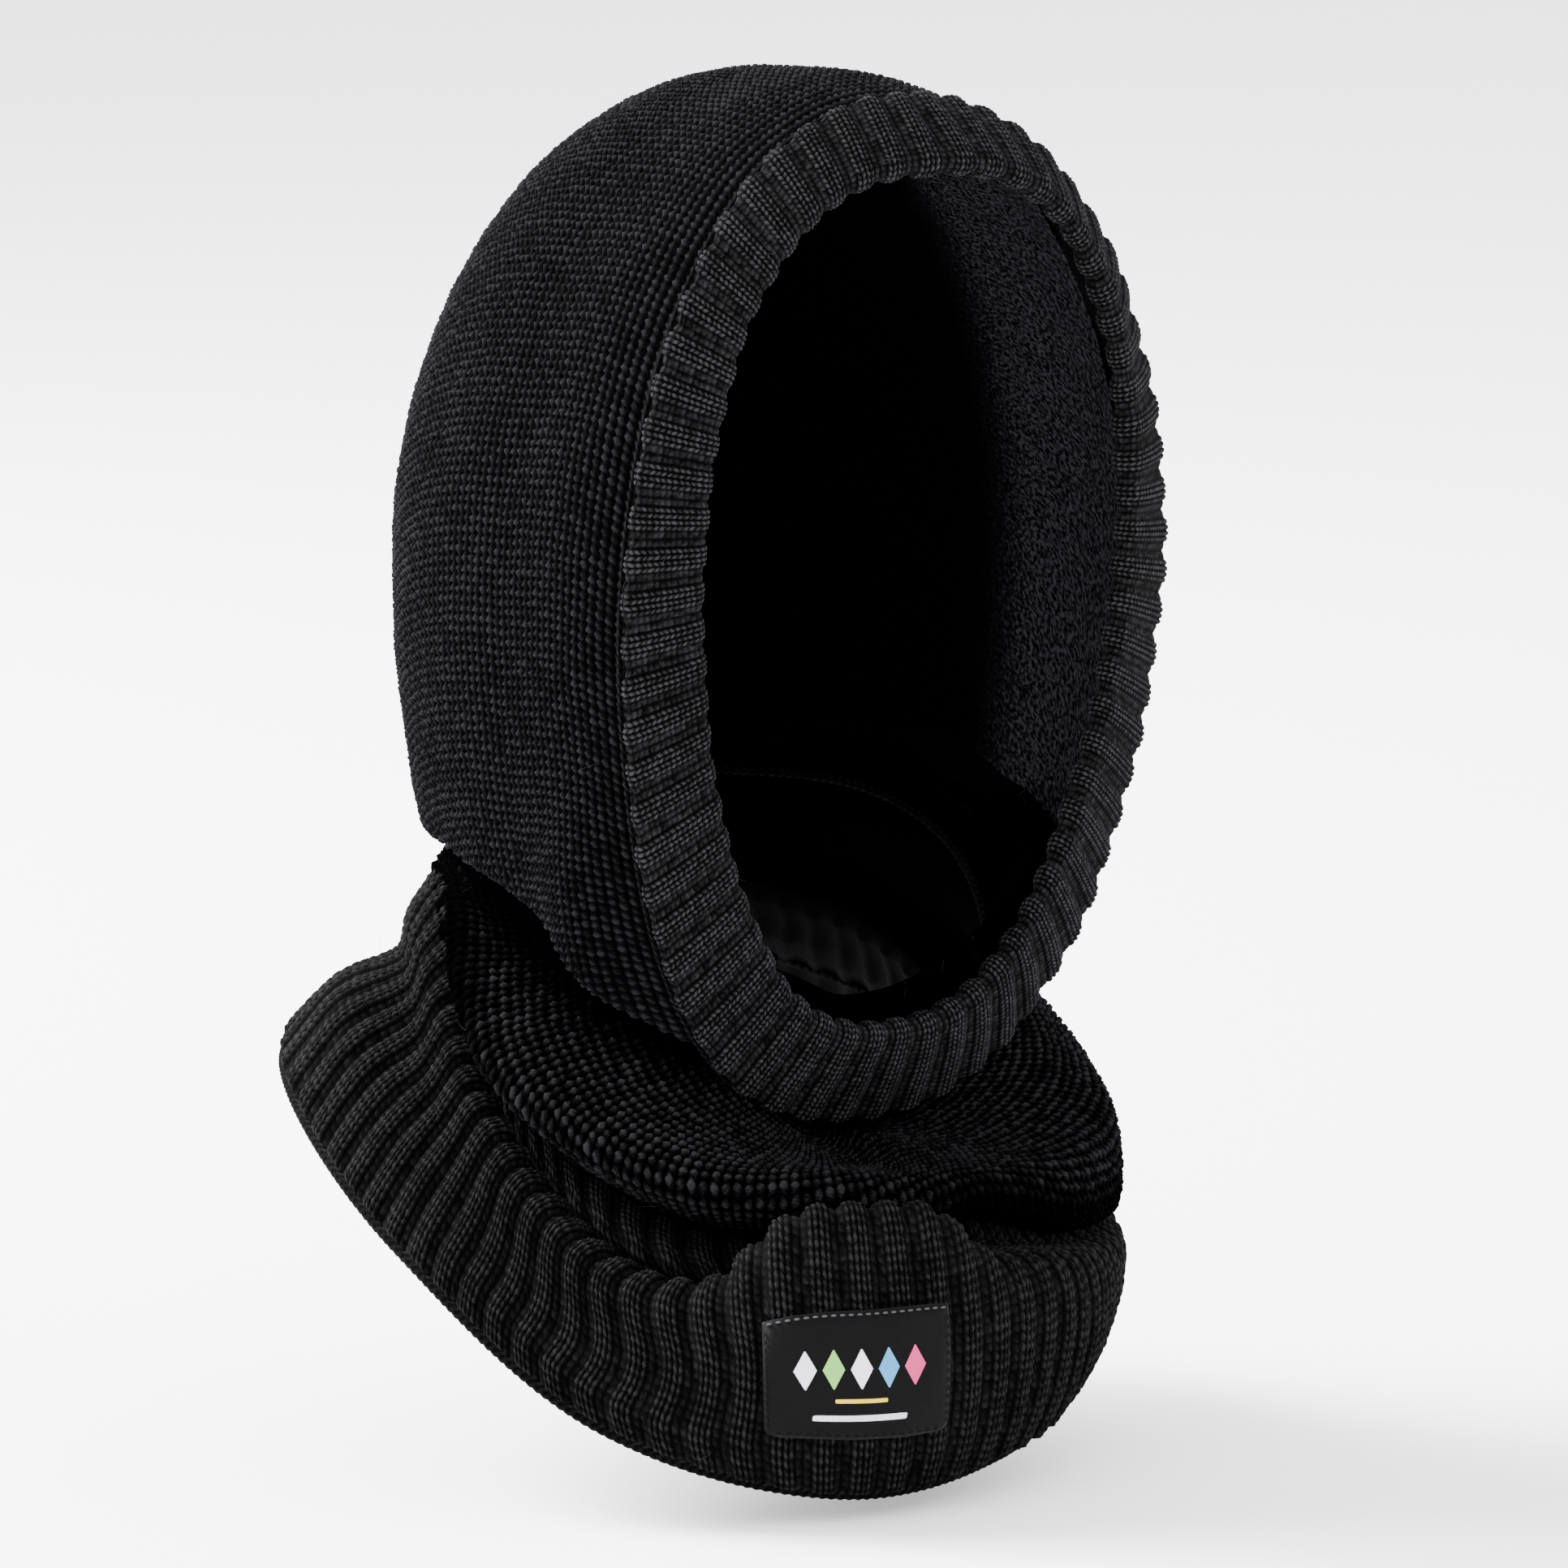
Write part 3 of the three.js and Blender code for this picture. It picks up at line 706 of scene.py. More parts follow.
def close_ends(piece):
    """Joins the outer face to the inner one down the two side edges of an open panel."""
    bm = bmesh.new()
    bm.from_mesh(piece.data)
    holes = [edge for edge in bm.edges if edge.is_boundary]
    if holes:
        bmesh.ops.holes_fill(bm, edges=holes, sides=0)
    bm.to_mesh(piece.data)
    bm.free()


def knit_cord(name, path, up, radius, pitch, loop):
    """A chain of yarn along a path: plump grains that meet in Vs on its upper side."""
    path = np.asarray(path, float)
    if loop:
        path = np.concatenate([path, path[:1]])
        up = np.concatenate([up, up[:1]])
    steps = np.linalg.norm(np.diff(path, axis=0), axis=1)
    run = np.concatenate([[0], np.cumsum(steps)])
    stitches = max(2, int(round(run[-1] / pitch)))
    rows = np.arange(stitches * 4 + (0 if loop else 1)) / 4
    at = rows / stitches * run[-1]
    centre, lift = (
        np.stack([np.interp(at, run, values[:, k]) for k in range(3)], axis=-1) for values in (path, up))
    ahead = np.roll(centre, -1, 0) - np.roll(centre, 1, 0) if loop else np.gradient(centre, axis=0)
    ahead = unit(ahead)
    side = unit(np.cross(ahead, lift))
    lift = np.cross(side, ahead)
    turn = np.arange(CHAIN_SIDES) / CHAIN_SIDES * 2 * PI
    t = rows[:, None] + 0.8 * np.abs(np.cos(turn))[None, :]
    tone = stitch_tone(np.floor(turn / PI)[None, :] + 0 * t, t, CHAIN_SEED)
    groove = 0.55 * np.exp(-((np.abs(np.sin(turn)) - 1) / 0.12) ** 2)
    grain = np.abs(np.sin(PI * t)) ** 0.7 * (1 - groove)
    points = round_section(centre, radius * (0.68 + 0.42 * grain), side, lift, turn)
    # grain also goes into depth, which the yarn's colour follows: painted shade between the grains and a
    # painted highlight on them
    layers = [points, np.repeat(rows[:, None], CHAIN_SIDES, 1),
              np.repeat((turn / PI)[None, :], len(rows), 0), grain, tone]
    if not loop:
        # Both ends close on the path itself
        layers = [np.concatenate([x[:1], x, x[-1:]]) for x in layers]
        layers[0][[0, -1]] = centre[[0, -1]][:, None]
    return grid_mesh(name, *layers, loop=loop, wrap=True)


# ---- Materials


class Surface:
    """A material in the making, with short ways to add and join its nodes."""

    def __init__(self, name):
        self.material = bpy.data.materials.new(name)
        self.material.use_nodes = True
        self.nodes = self.material.node_tree.nodes
        self.link = self.material.node_tree.links.new
        self.nodes.clear()
        self.shader = self.nodes.new("ShaderNodeBsdfPrincipled")
        self.link(self.shader.outputs[0], self.nodes.new("ShaderNodeOutputMaterial").inputs[0])

    def add(self, kind, source, socket, **values):
        """A node with one input fed by source and others set to values."""
        node = self.nodes.new(kind)
        for key, value in values.items():
            node.inputs[key].default_value = value
        self.link(source, node.inputs[socket])
        return node

    def math(self, operation, *values, clamp=False):
        node = self.nodes.new("ShaderNodeMath")
        node.operation = operation
        node.use_clamp = clamp
        for socket, value in zip(node.inputs, values):
            if isinstance(value, (int, float)):
                socket.default_value = value
            else:
                self.link(value, socket)
        return node.outputs[0]

    def attribute(self, name, output="Fac"):
        node = self.nodes.new("ShaderNodeAttribute")
        node.attribute_name = name
        return node.outputs[output]

    def stitch_place(self):
        """Coordinates that count stitches along and across a piece."""
        node = self.nodes.new("ShaderNodeUVMap")
        node.uv_map = "knit"
        return node.outputs["UV"]

    def object_place(self):
        return self.nodes.new("ShaderNodeTexCoord").outputs["Object"]

    def noise(self, place, scale, detail, roughness=0.6):
        node = self.add(
            "ShaderNodeTexNoise", place, "Vector", Scale=scale, Detail=detail, Roughness=roughness)
        return node.outputs["Fac"]

    def bands(self, place, direction, scale, distortion):
        node = self.add(
            "ShaderNodeTexWave", place, "Vector", Scale=scale, Distortion=distortion, Detail=2)
        node.bands_direction = direction
        return node.outputs["Fac"]

    def colour(self, level, stops):
        """Colours the surface by level, through stops of a place and a colour."""
        node = self.nodes.new("ShaderNodeValToRGB")
        elements = node.color_ramp.elements
        while len(elements) < len(stops):
            elements.new(0.5)
        for element, (place, colour) in zip(elements, stops):
            element.position = place
            element.color = (*colour, 1)
        self.link(level, node.inputs[0])
        self.link(node.outputs[0], self.shader.inputs["Base Color"])

    def bump(self, height, strength, distance):
        node = self.add("ShaderNodeBump", height, "Height", Strength=strength, Distance=distance)
        self.link(node.outputs[0], self.shader.inputs["Normal"])

    def roughness(self, source, spread, least):
        self.link(self.math("MULTIPLY_ADD", source, spread, least), self.shader.inputs["Roughness"])


def yarn_material(name, gap, body, crest_highlight, sheen, ply=(2.6, 3.4), shine=0.02):
    """Matt yarn, plied and a little fuzzy. Its colour follows the stitch relief in the attribute "depth":
    the gap colour is painted shade between the stitches, and the crest colour is a painted highlight on
    their crests.
    """
    yarn = Surface(name)
    ply_place = yarn.add("ShaderNodeMapping", yarn.stitch_place(), "Vector", Scale=(*ply, 1))
    strand = yarn.bands(ply_place.outputs["Vector"], "DIAGONAL", 1.0, 3.0)
    fibre = yarn.noise(yarn.object_place(), 1400, 3, 0.7)
    patch = yarn.noise(yarn.object_place(), 26, 3)
    # Low depth, in the gaps, takes painted shade, and high depth, on the crests, takes a painted highlight
    level = yarn.attribute("depth")
    # Each of these shifts the level by its weight, half of it up and half of it down
    for source, weight in ((yarn.attribute("tone"), 0.16), (fibre, 0.7), (patch, 0.3)):
        level = yarn.math("ADD", level, yarn.math("MULTIPLY_ADD", source, weight, -weight / 2))
    level = yarn.math("MULTIPLY_ADD", strand, 0.14, level, clamp=True)
    yarn.colour(level, [(0.0, gap), (0.36, gap), (0.72, body), (1.0, crest_highlight)])
    yarn.bump(yarn.math("MULTIPLY_ADD", strand, 0.8, fibre), 0.5, 0.0004)
    yarn.roughness(fibre, 0.2, 0.78)
    yarn.shader.inputs["Specular IOR Level"].default_value = shine
    yarn.shader.inputs["Sheen Weight"].default_value = sheen
    yarn.shader.inputs["Sheen Roughness"].default_value = 0.35
    yarn.shader.inputs["Sheen Tint"].default_value = (0.7, 0.67, 0.75, 1)
    return yarn.material


def lining_material():
    """Fine jersey, navy black, with a small flecked grain. Its colour is multiplied by the attribute
    "depth", which goes to 0 deeper inside the hood: painted shade to black.
    """
    jersey = Surface("lining_jersey")
    grain = jersey.noise(jersey.stitch_place(), 0.9, 1, 0.5)
    fleck = jersey.noise(jersey.object_place(), 800, 2, 0.7)
    height = jersey.math("MULTIPLY_ADD", fleck, 0.9, grain)
    level = jersey.math("MULTIPLY_ADD", height, 2.6, -1.9)
    jersey.colour(jersey.math("MULTIPLY", level, jersey.attribute("depth")), [
        (0.0, (0.0001, 0.0001, 0.0001)),
        (0.4, (0.0028, 0.0026, 0.0034)),
        (1.0, (0.0165, 0.0158, 0.0198)),
    ])
    jersey.bump(height, 0.7, 0.0004)
    jersey.shader.inputs["Roughness"].default_value = 0.85
    jersey.shader.inputs["Specular IOR Level"].default_value = 0.005
    jersey.shader.inputs["Sheen Weight"].default_value = 0.002
    return jersey.material


def satin_material(name, colour=None):
    """Woven satin: a fine ribbed weave with a soft shine. Without a colour of its own it takes
    the piece's "tint" attribute."""
    satin = Surface(name)
    weave = satin.bands(satin.stitch_place(), "Y", 0.9, 1.2)
    fleck = satin.noise(satin.object_place(), 700, 2)
    if colour is None:
        satin.link(satin.attribute("tint", "Color"), satin.shader.inputs["Base Color"])
    else:
        level = satin.math("MULTIPLY_ADD", fleck, 0.6, satin.math("MULTIPLY", weave, 0.4))
        satin.colour(level, [(0.2, tuple(0.6 * c for c in colour)), (0.8, colour)])
    satin.bump(weave, 0.5, 0.00015)
    satin.roughness(fleck, 0.2, 0.38)
    satin.shader.inputs["Specular IOR Level"].default_value = 0.03
    satin.shader.inputs["Sheen Weight"].default_value = 0.02
    return satin.material


HOOD_YARN = yarn_material(
    "hood_yarn", gap=(0.0002, 0.0002, 0.0003), body=(0.0016, 0.0015, 0.0018),
    crest_highlight=(0.0078, 0.0074, 0.0085), sheen=0.005, shine=0.012)
# The hood's yarn again, with colours and shine of its own for the neck: painted shade, for the neck lying
# lower and in shadow
NECK_YARN_PAINTED_SHADE = yarn_material(
    "neck_yarn_painted_shade", gap=(0.0001, 0.0001, 0.0001), body=(0.0026, 0.0025, 0.0028),
    crest_highlight=(0.01, 0.0096, 0.0105), sheen=0.001, shine=0.002)
# Painted light: the knit's black yarn made paler here for the light on the forward-facing trim
TRIM_YARN_PAINTED_LIGHT = yarn_material(
    "trim_yarn_painted_light", gap=(0.0003, 0.0003, 0.0004), body=(0.0078, 0.0074, 0.008),
    crest_highlight=(0.021, 0.02, 0.0216), sheen=0.008, ply=(2.6, 2.0))
COWL_YARN = yarn_material(
    "cowl_yarn", gap=(0.0003, 0.0003, 0.0003), body=(0.0036, 0.0034, 0.0034),
    crest_highlight=(0.0104, 0.0098, 0.01), sheen=0.004)
# Painted shade: the yarn kept dark for seam chains that lie in grooves and inside the garment
SEAM_YARN_PAINTED_SHADE = yarn_material(
    "seam_yarn", gap=(0.0002, 0.0002, 0.0003), body=(0.0018, 0.0017, 0.002),
    crest_highlight=(0.006, 0.0058, 0.0064), sheen=0.003, shine=0.01)
LINING = lining_material()
SATIN = satin_material("label_satin", (0.002, 0.0019, 0.0022))
THREAD_PALE = satin_material("label_thread_pale", (0.05, 0.05, 0.053))
THREAD_DARK = satin_material("label_thread_dark", (0.003, 0.003, 0.0033))
FIBRE = satin_material("stray_fibre", (0.03, 0.026, 0.032))
MOTIF = satin_material("label_motif")

# ---- Knitted pieces


def curl(curves, radius, turn):
    """Ends each curve in a roll that turns in from the surface, without going past its old end."""
    total = np.linalg.norm(np.diff(curves, axis=1), axis=-1).sum(1)
    samples = np.linspace(0, 1, curves.shape[1])[None, :] * (total - 2 * radius)[:, None] + radius
    middle, _ = along(curves, samples)
    normals = surface_normals(middle, False)
    angle = np.linspace(0, turn, 16)[1:]
    ends = []
    for end, inside in ((0, 1), (-1, -2)):
        out = unit(middle[:, end] - middle[:, inside])[:, None]
        normal = normals[:, end][:, None]
        arc = middle[:, end][:, None] + radius * (
            np.sin(angle)[None, :, None] * out - (1 - np.cos(angle))[None, :, None] * normal)
        ends.append(arc)
    return np.concatenate([ends[0][:, ::-1], middle, ends[1]], axis=1)


def hood_rings(v, inset=0.0, samples=700):
    share = np.linspace(-1, 1, samples)
    end = hood_end_angle(v)
    rings = hood_point(share[None, :] * end[:, None], v[:, None] + 0 * share[None, :])
    if inset:
        rings = rings - surface_normals(rings, False) * inset
    return rings


# Hood: wales run parallel to the trim, over the crown
hood_a = np.append(plain_columns(HOOD_WALES), HOOD_WALES)
hood_v = np.interp(hood_a / HOOD_WALES, *HOOD_SPREAD)
hood_curves = curl(hood_rings(hood_v), FOLD_RADIUS, FOLD_TURN)
hood = knit_sheet(
    "hood_knit", hood_curves, hood_a, HOOD_COURSE,
    Plain(lean=0.3, slant=0.11, height=1.6, bridge=0.35, fullness=0.9),
    thickness=HOOD_THICKNESS, outer=-0.5, seed=11, loop=False, wale_mm=HOOD_WALE, anchor="middle")
dress(hood, HOOD_YARN, "hood_knit", "hood_panel")


# Lining: two halves of fine jersey, joined over the crown
def lining_half(node, columns):
    v = np.linspace(LINING_START, LINING_END, 90)
    half = hood_rings(v, LINING_INSET, LINING_SAMPLES)[:, columns]
    row, column = np.meshgrid(np.arange(half.shape[0]), np.arange(half.shape[1]), indexing="ij")
    normals = surface_normals(half, False)
    half = half + normals * sway(half, 31, *LINING_SWAY)[..., None]
    back = half + normals * LINING_THICKNESS
    points, row, column = (
        np.concatenate([front, behind[:, ::-1]], axis=1).astype(float)
        for front, behind in ((half, back), (row, row), (column, column)))
    # Painted shade: the lining goes black deeper inside the hood
    shade = np.repeat((1 - smooth((v - LINING_SHADE_START) / LINING_SHADE_SPAN))[:, None], points.shape[1], 1)
    piece = grid_mesh(node + "_jersey", points, row * 2.0, column * 1.6, shade, shade, wrap=True)
    close_ends(piece)
    return dress(piece, LINING, "lining_knit", node)


linings = [
    lining_half("lining_left", slice(None, LINING_HALF_SAMPLES)),
    lining_half("lining_right", slice(LINING_SAMPLES - LINING_HALF_SAMPLES, None)),
]


# Trim: a rib band folded double round the opening
def trim_middle(u):
    return (opening_edge(u) + seam_edge(u)) / 2


def trim_frame(u):
    inner, outer = opening_edge(u), seam_edge(u)
    reach = np.linalg.norm(outer - inner, axis=-1)
    across = unit(outer - inner)
    ahead = unit(trim_middle(u + 1e-3) - trim_middle(u - 1e-3))
    return inner, across, unit(np.cross(ahead, -across)), reach


def smooth_curves(points, per_span):
    """Catmull-Rom curves through points[i, k]."""
    n = points.shape[1]
    t = np.arange((n - 1) * per_span + 1) / per_span
    i = np.minimum(n - 2, t.astype(int))
    f = (t - i)[None, :, None]
    pick = [points[:, np.clip(i + k, 0, n - 1)] for k in (-1, 0, 1, 2)]
    return catmull(*pick, f)


def trim_curves(u):
    inner, across, normal, reach = trim_frame(u)
    level = 0 * reach
    front, back = (
        [(share * reach + extra, height + level) for share, extra, height in part]
        for part in (TRIM_FRONT, TRIM_BACK))
    fold = [
        (TRIM_FOLD_RADIUS * (1 + np.cos(t)) - TRIM_FOLD_SHIFT + level, TRIM_FOLD_RADIUS * np.sin(t) + level)
        for t in np.linspace(PI / 2, 3 * PI / 2, 14)
    ]
    x, y = (np.stack(values, axis=1)[..., None] for values in zip(*(front + fold + back)))
    return smooth_curves(inner[:, None] + x * across[:, None] + y * normal[:, None], 8)


trim_a = rib_columns(TRIM_RIBS)
trim_u, _ = even_angles(trim_middle, rib_place(trim_a) / TRIM_RIBS)
trim = knit_sheet(
    "trim_knit", trim_curves(trim_u), trim_a, TRIM_COURSE,
    Ribbed(lean=0.75, slant=0.06, height=0.6, bridge=0.35, rib=1.3),
    thickness=TRIM_THICKNESS, outer=-0.3, seed=21, loop=True, wale_mm=2.5, inner_rows=16, calm=(0.47, 6))
dress(trim, TRIM_YARN_PAINTED_LIGHT, "trim_rib", "face_trim")


def seam_cord(name, path, up, radius, node, loop=False, pitch=CHAIN_PITCH):
    return dress(knit_cord(name, path, up, radius, pitch, loop), SEAM_YARN_PAINTED_SHADE, "seam_yarn", node)


RING_ANGLES = np.linspace(0, 2 * PI, 240, endpoint=False)
seam_inner, seam_across, seam_normal, seam_reach = trim_frame(RING_ANGLES)
linking = seam_cord(
    "trim_linking_chain",
    seam_inner + seam_across * (seam_reach + 1.9)[:, None] - seam_normal * 0.6,
    seam_normal, 0.9, "trim_linking_seam", loop=True)

# Neck tube and cowl

neck_a = plain_columns(NECK_WALES)
neck_s = np.linspace(0, len(NECK_ROLL) - 1, 180)
neck_theta, _ = even_angles(lambda t: drape(NECK_RINGS, t, [3.5])[:, 0], neck_a / NECK_WALES)
# Above the roll the wales lean towards the face
neck_lean = smooth((4.2 - neck_s) / 3.6)[None, :] * NECK_LEAN
neck_turned = neck_theta[:, None] - neck_lean * np.sin(neck_theta)[:, None]
# Painted shadow where the tube runs under the hood's edge, and painted shade where it ends in the gap over
# the cowl
neck = knit_sheet(
    "neck_knit", drape(NECK_ROLL, neck_turned, neck_s), neck_a, NECK_COURSE,
    Plain(lean=0.45, slant=0.12, height=1.6, bridge=0.35, core=0.15, fullness=0.9),
    thickness=NECK_THICKNESS, outer=0.8, seed=41, loop=True, wale_mm=NECK_WALE, shadow=(22, 48), painted_shade_end=16)
dress(neck, NECK_YARN_PAINTED_SHADE, "hood_knit", "neck_tube")

cowl_a = rib_columns(COWL_RIBS)
cowl_s = np.linspace(0, len(COWL_FOLDS) - 1.1, 240)
cowl_theta, _ = even_angles(
    lambda t: drape(COWL_RINGS, t, [2.2])[:, 0], rib_place(cowl_a) / COWL_RIBS)
# The ribs lie aslant in the small inner roll, and wave where the cowl slouches
roll_lean = ROLL_LEAN * smooth((3.6 - cowl_s) / 3.0)[None, :]
slouch = smooth((cowl_s - 3.6) / 0.8) * smooth((7 - cowl_s) / 1.2)
wave = RIB_WAVE * np.sin(2 * PI * (cowl_s - WAVE_START) / WAVE_LENGTH) * slouch
waving = bell(cowl_theta, *WAVE_AT) - COUNTER_WAVE_SHARE * bell(cowl_theta, *COUNTER_WAVE_AT)
cowl_turned = (
    cowl_theta[:, None] + roll_lean * bell(cowl_theta, *ROLL_LEAN_AT)[:, None]
    + wave[None, :] * waving[:, None]
)
cowl = knit_sheet(
    "cowl_knit", drape(COWL_FOLDS, cowl_turned, cowl_s, COWL_LIFT, COWL_SWELL), cowl_a, COWL_COURSE,
    Ribbed(lean=0.6, slant=0.1, height=0.9, bridge=0.5, rib=1.9),
    thickness=COWL_THICKNESS, outer=0.9, seed=51, loop=True, wale_mm=2.9, shadow=(3, 15))
dress(cowl, COWL_YARN, "cowl_rib", "cowl_rib")


def cowl_ring(before, s, after, out):
    """A path round the cowl at s, its normals and the way down the cloth from before to s."""
    strip = drape(COWL_RINGS, RING_ANGLES, [before, s, after], PILLOW_LIFT, PILLOW_SWELL)
    normal = surface_normals(strip, True)[:, 1]
    return strip[:, 1] + normal * out, normal, unit(strip[:, 1] - strip[:, 0])


hem_path, hem_normal, hem_down = cowl_ring(3.84, 3.9, 3.9, -0.6)
cast_off = dress(
    knit_cord("cowl_cast_off_chain", hem_path + hem_down * 0.7, hem_normal, 1.3, CHAIN_PITCH, True),
    COWL_YARN, "cowl_rib", "cowl_cast_off_edge")
link_path, link_normal, _ = cowl_ring(0.04, 0.1, 0.16, -2.4)
cowl_link = seam_cord(
    "cowl_linking_chain", link_path, link_normal, CHAIN_RADIUS, "cowl_linking_seam", loop=True)


def back_cord(name, rings, first, last, depth, node):
    """A seam down the inside of the centre back, between two places counted in rings."""
    strip = drape(rings, PI + np.array([-0.02, 0, 0.02]), np.linspace(first, last, 40))
    normal = surface_normals(strip, False)[1]
    return seam_cord(name, strip[1] - normal * depth, -normal, CHAIN_RADIUS, node)


cowl_back = back_cord("cowl_back_chain", COWL_RINGS, 1.3, 3.7, COWL_SEAM_INSET, "cowl_back_seam")
neck_back = back_cord("neck_back_chain", NECK_RINGS, 1.2, 4.6, NECK_SEAM_INSET, "neck_back_seam")
neck_top = drape(NECK_RINGS, RING_ANGLES, [0.2, 0.25, 0.3])
neck_top_normal = surface_normals(neck_top, True)[:, 1]
neck_link = seam_cord(
    "neck_linking_chain", neck_top[:, 1] - neck_top_normal * NECK_SEAM_INSET, neck_top_normal,
    CHAIN_RADIUS, "neck_hood_seam", loop=True)

# Centre-back and crown seams of the hood and its lining
foot_angle = hood_end_angle(np.array([1.0]))[0]
back_top = hood_point(np.array(0.0), np.array(1.0))[2] - BACK_SEAM_TOP
back_foot = hood_point(np.array(foot_angle), np.array(1.0))[2] + BACK_SEAM_FOOT
back_z = np.linspace(back_top, back_foot, 60)
back_depth = np.sqrt(1 - (back_z / hood_height(back_z)) ** 2)
back_y = HOOD_WIDEST_Y + (HOOD_BACK_Y - HOOD_WIDEST_Y) * back_depth
back_chain = seam_cord(
    "hood_back_chain", vec(0 * back_z, back_y - BACK_SEAM_INSET, back_z), np.tile([0, 1.0, 0], (60, 1)),
    1.3, "hood_back_seam")
crown_v = np.linspace(*CROWN_SEAM_SPAN, 60)
crown_path = hood_point(0 * crown_v, crown_v) - np.array([0, 0, CROWN_SEAM_INSET])
crown_seam = seam_cord(
    "lining_crown_chain", crown_path, np.tile([0, 0, -1.0], (60, 1)), 0.6, "lining_crown_seam", pitch=1.6)
closing_inner, closing_across, closing_normal, closing_reach = trim_frame(np.full(30, CLOSING_SEAM_U))
closing_x = np.linspace(*CLOSING_SEAM_SPAN, 30) * closing_reach
closing_path = closing_inner + closing_across * closing_x[:, None] + closing_normal * CLOSING_SEAM_LIFT
closing = seam_cord(
    "trim_closing_chain", closing_path, closing_normal, 0.75, "trim_closing_seam", pitch=1.5)

# ---- Woven label


def label_place(p, q, out):
    """Points on the label: p from -0.5 to 0.5 across it, q from 0 to 1 down it."""
    theta = np.atleast_2d(math.radians(LABEL_AT_DEG) + p * LABEL_WIDTH / LABEL_RADIUS)
    s = np.atleast_2d(LABEL_TOP + (LABEL_BOTTOM - LABEL_TOP) * q)

    def cloth(turned, lowered):
        return drape(COWL_RINGS, theta + turned, s + lowered, PILLOW_LIFT, PILLOW_SWELL)

    across = cloth(LABEL_STEP, 0) - cloth(-LABEL_STEP, 0)
    down = cloth(0, LABEL_STEP) - cloth(0, -LABEL_STEP)
    points = cloth(0, 0) + unit(np.cross(across, down)) * np.atleast_2d(out)[..., None]
    return points.reshape(p.shape + (3,))


def label_ripple(p, q):
    return 0.18 * np.sin(p * 19) * np.sin(q * 7 + 1)


label_p, label_q = np.meshgrid(np.linspace(-0.5, 0.5, 60), np.linspace(0, 1, 42), indexing="ij")
# The two lower corners are rounded, and the edges are tucked towards the cloth
corner_drop = np.clip((label_q - (1 - LABEL_CORNER)) / LABEL_CORNER, 0, 1)
label_p = label_p * (1 - 0.055 * (1 - np.sqrt(1 - corner_drop ** 2)) * 2)
from_edge = np.minimum(np.minimum(0.5 - np.abs(label_p), label_q * 0.7), (1 - label_q) * 0.7)
tuck = LABEL_TUCK * (1 - smooth(from_edge / 0.05))
label_out = LABEL_FACE - tuck + label_ripple(label_p, label_q)
label_layers = [
    (label_place(label_p, label_q, label_out), label_place(label_p, label_q, label_out - LABEL_THICKNESS)),
    (label_p * LABEL_WIDTH, label_p * LABEL_WIDTH),
    (label_q * LABEL_HEIGHT, (2 - label_q) * LABEL_HEIGHT),
    (np.full(label_p.shape, 0.5), np.full(label_p.shape, 0.5)),
]
label_points, label_a, label_b, grey = (
    np.concatenate([front, back[:, ::-1]], axis=1)[:, ::-1] for front, back in label_layers)
label = grid_mesh("label_satin_patch", label_points, label_a, label_b, grey, grey, wrap=True)
close_ends(label)
dress(label, SATIN, "label_satin", "woven_label")


def stitch_line(side, start, end, count, radius, material):
    """A row of short stitches along a line on the label, as one piece."""
    (p0, q0), (p1, q1) = start, end
    t = np.linspace(0, 1, STITCH_STEPS)
    turn = np.arange(STITCH_SIDES) / STITCH_SIDES * 2 * PI
    full = radius * np.sqrt(np.clip(1 - (2 * t - 1) ** 4, 0.02, 1))
    lift = LABEL_FACE - 0.45 + radius * 0.9 + 0.35 * np.sin(PI * t)
    rings = []
    for k in range(count):
        share = (k + 0.5 + (t - 0.5) * STITCH_FILL) / count
        path = label_place(p0 + (p1 - p0) * share, q0 + (q1 - q0) * share, lift)
        ahead = unit(np.gradient(path, axis=0))
        half_way = path[STITCH_STEPS // 2]
        out = unit(half_way - np.array([0, NECK_AXIS_Y, half_way[2]]))
        across = unit(np.cross(ahead, out))
        rings.append(round_section(path, full[:, None], across, np.cross(across, ahead), turn))
    points = np.concatenate(rings)
    spot = np.arange(len(points) * STITCH_SIDES)
    index = spot.reshape(count, STITCH_STEPS, STITCH_SIDES)
    caps = index[:, 0, ::-1].tolist() + index[:, -1].tolist()
    ring, around = np.divmod(spot, STITCH_SIDES)
    flat = np.stack([0.02 + 0.96 * ring / len(points), 0.02 + 0.9 * around / STITCH_SIDES], -1)
    layers = {"OFBake": flat, "knit": flat * 40}
    piece = polygon_mesh("label_stitches_" + side, points, tube_quads(index) + caps, layers)
    return dress(piece, material, "label_thread", "label_stitch_" + side)


label_stitches = [
    stitch_line("top", (-0.485, 0.03), (0.485, 0.03), 21, 0.3, THREAD_PALE),
    stitch_line("bottom", (-0.45, 0.965), (0.45, 0.965), 18, 0.26, THREAD_DARK),
    stitch_line("right", (0.485, 0.07), (0.485, 0.93), 13, 0.26, THREAD_DARK),
    stitch_line("left", (-0.485, 0.07), (-0.485, 0.93), 13, 0.26, THREAD_DARK),
]

# The label's generic motif: a row of coloured lozenges over two plain bars
LOZENGE_SIZE = (0.125, 0.31)
LOZENGE_Q = 0.42
LOZENGES = [
    (0.291, (0.62, 0.62, 0.66)),
    (0.146, (0.16, 0.38, 0.09)),
    (0.0, (0.66, 0.64, 0.7)),
    (-0.146, (0.06, 0.22, 0.40)),
    (-0.291, (0.45, 0.04, 0.14)),
]
BARS = [
    (0.66, (0.30, 0.035), (0.62, 0.42, 0.03)),
    (0.80, (0.56, 0.055), (0.55, 0.55, 0.58)),
]


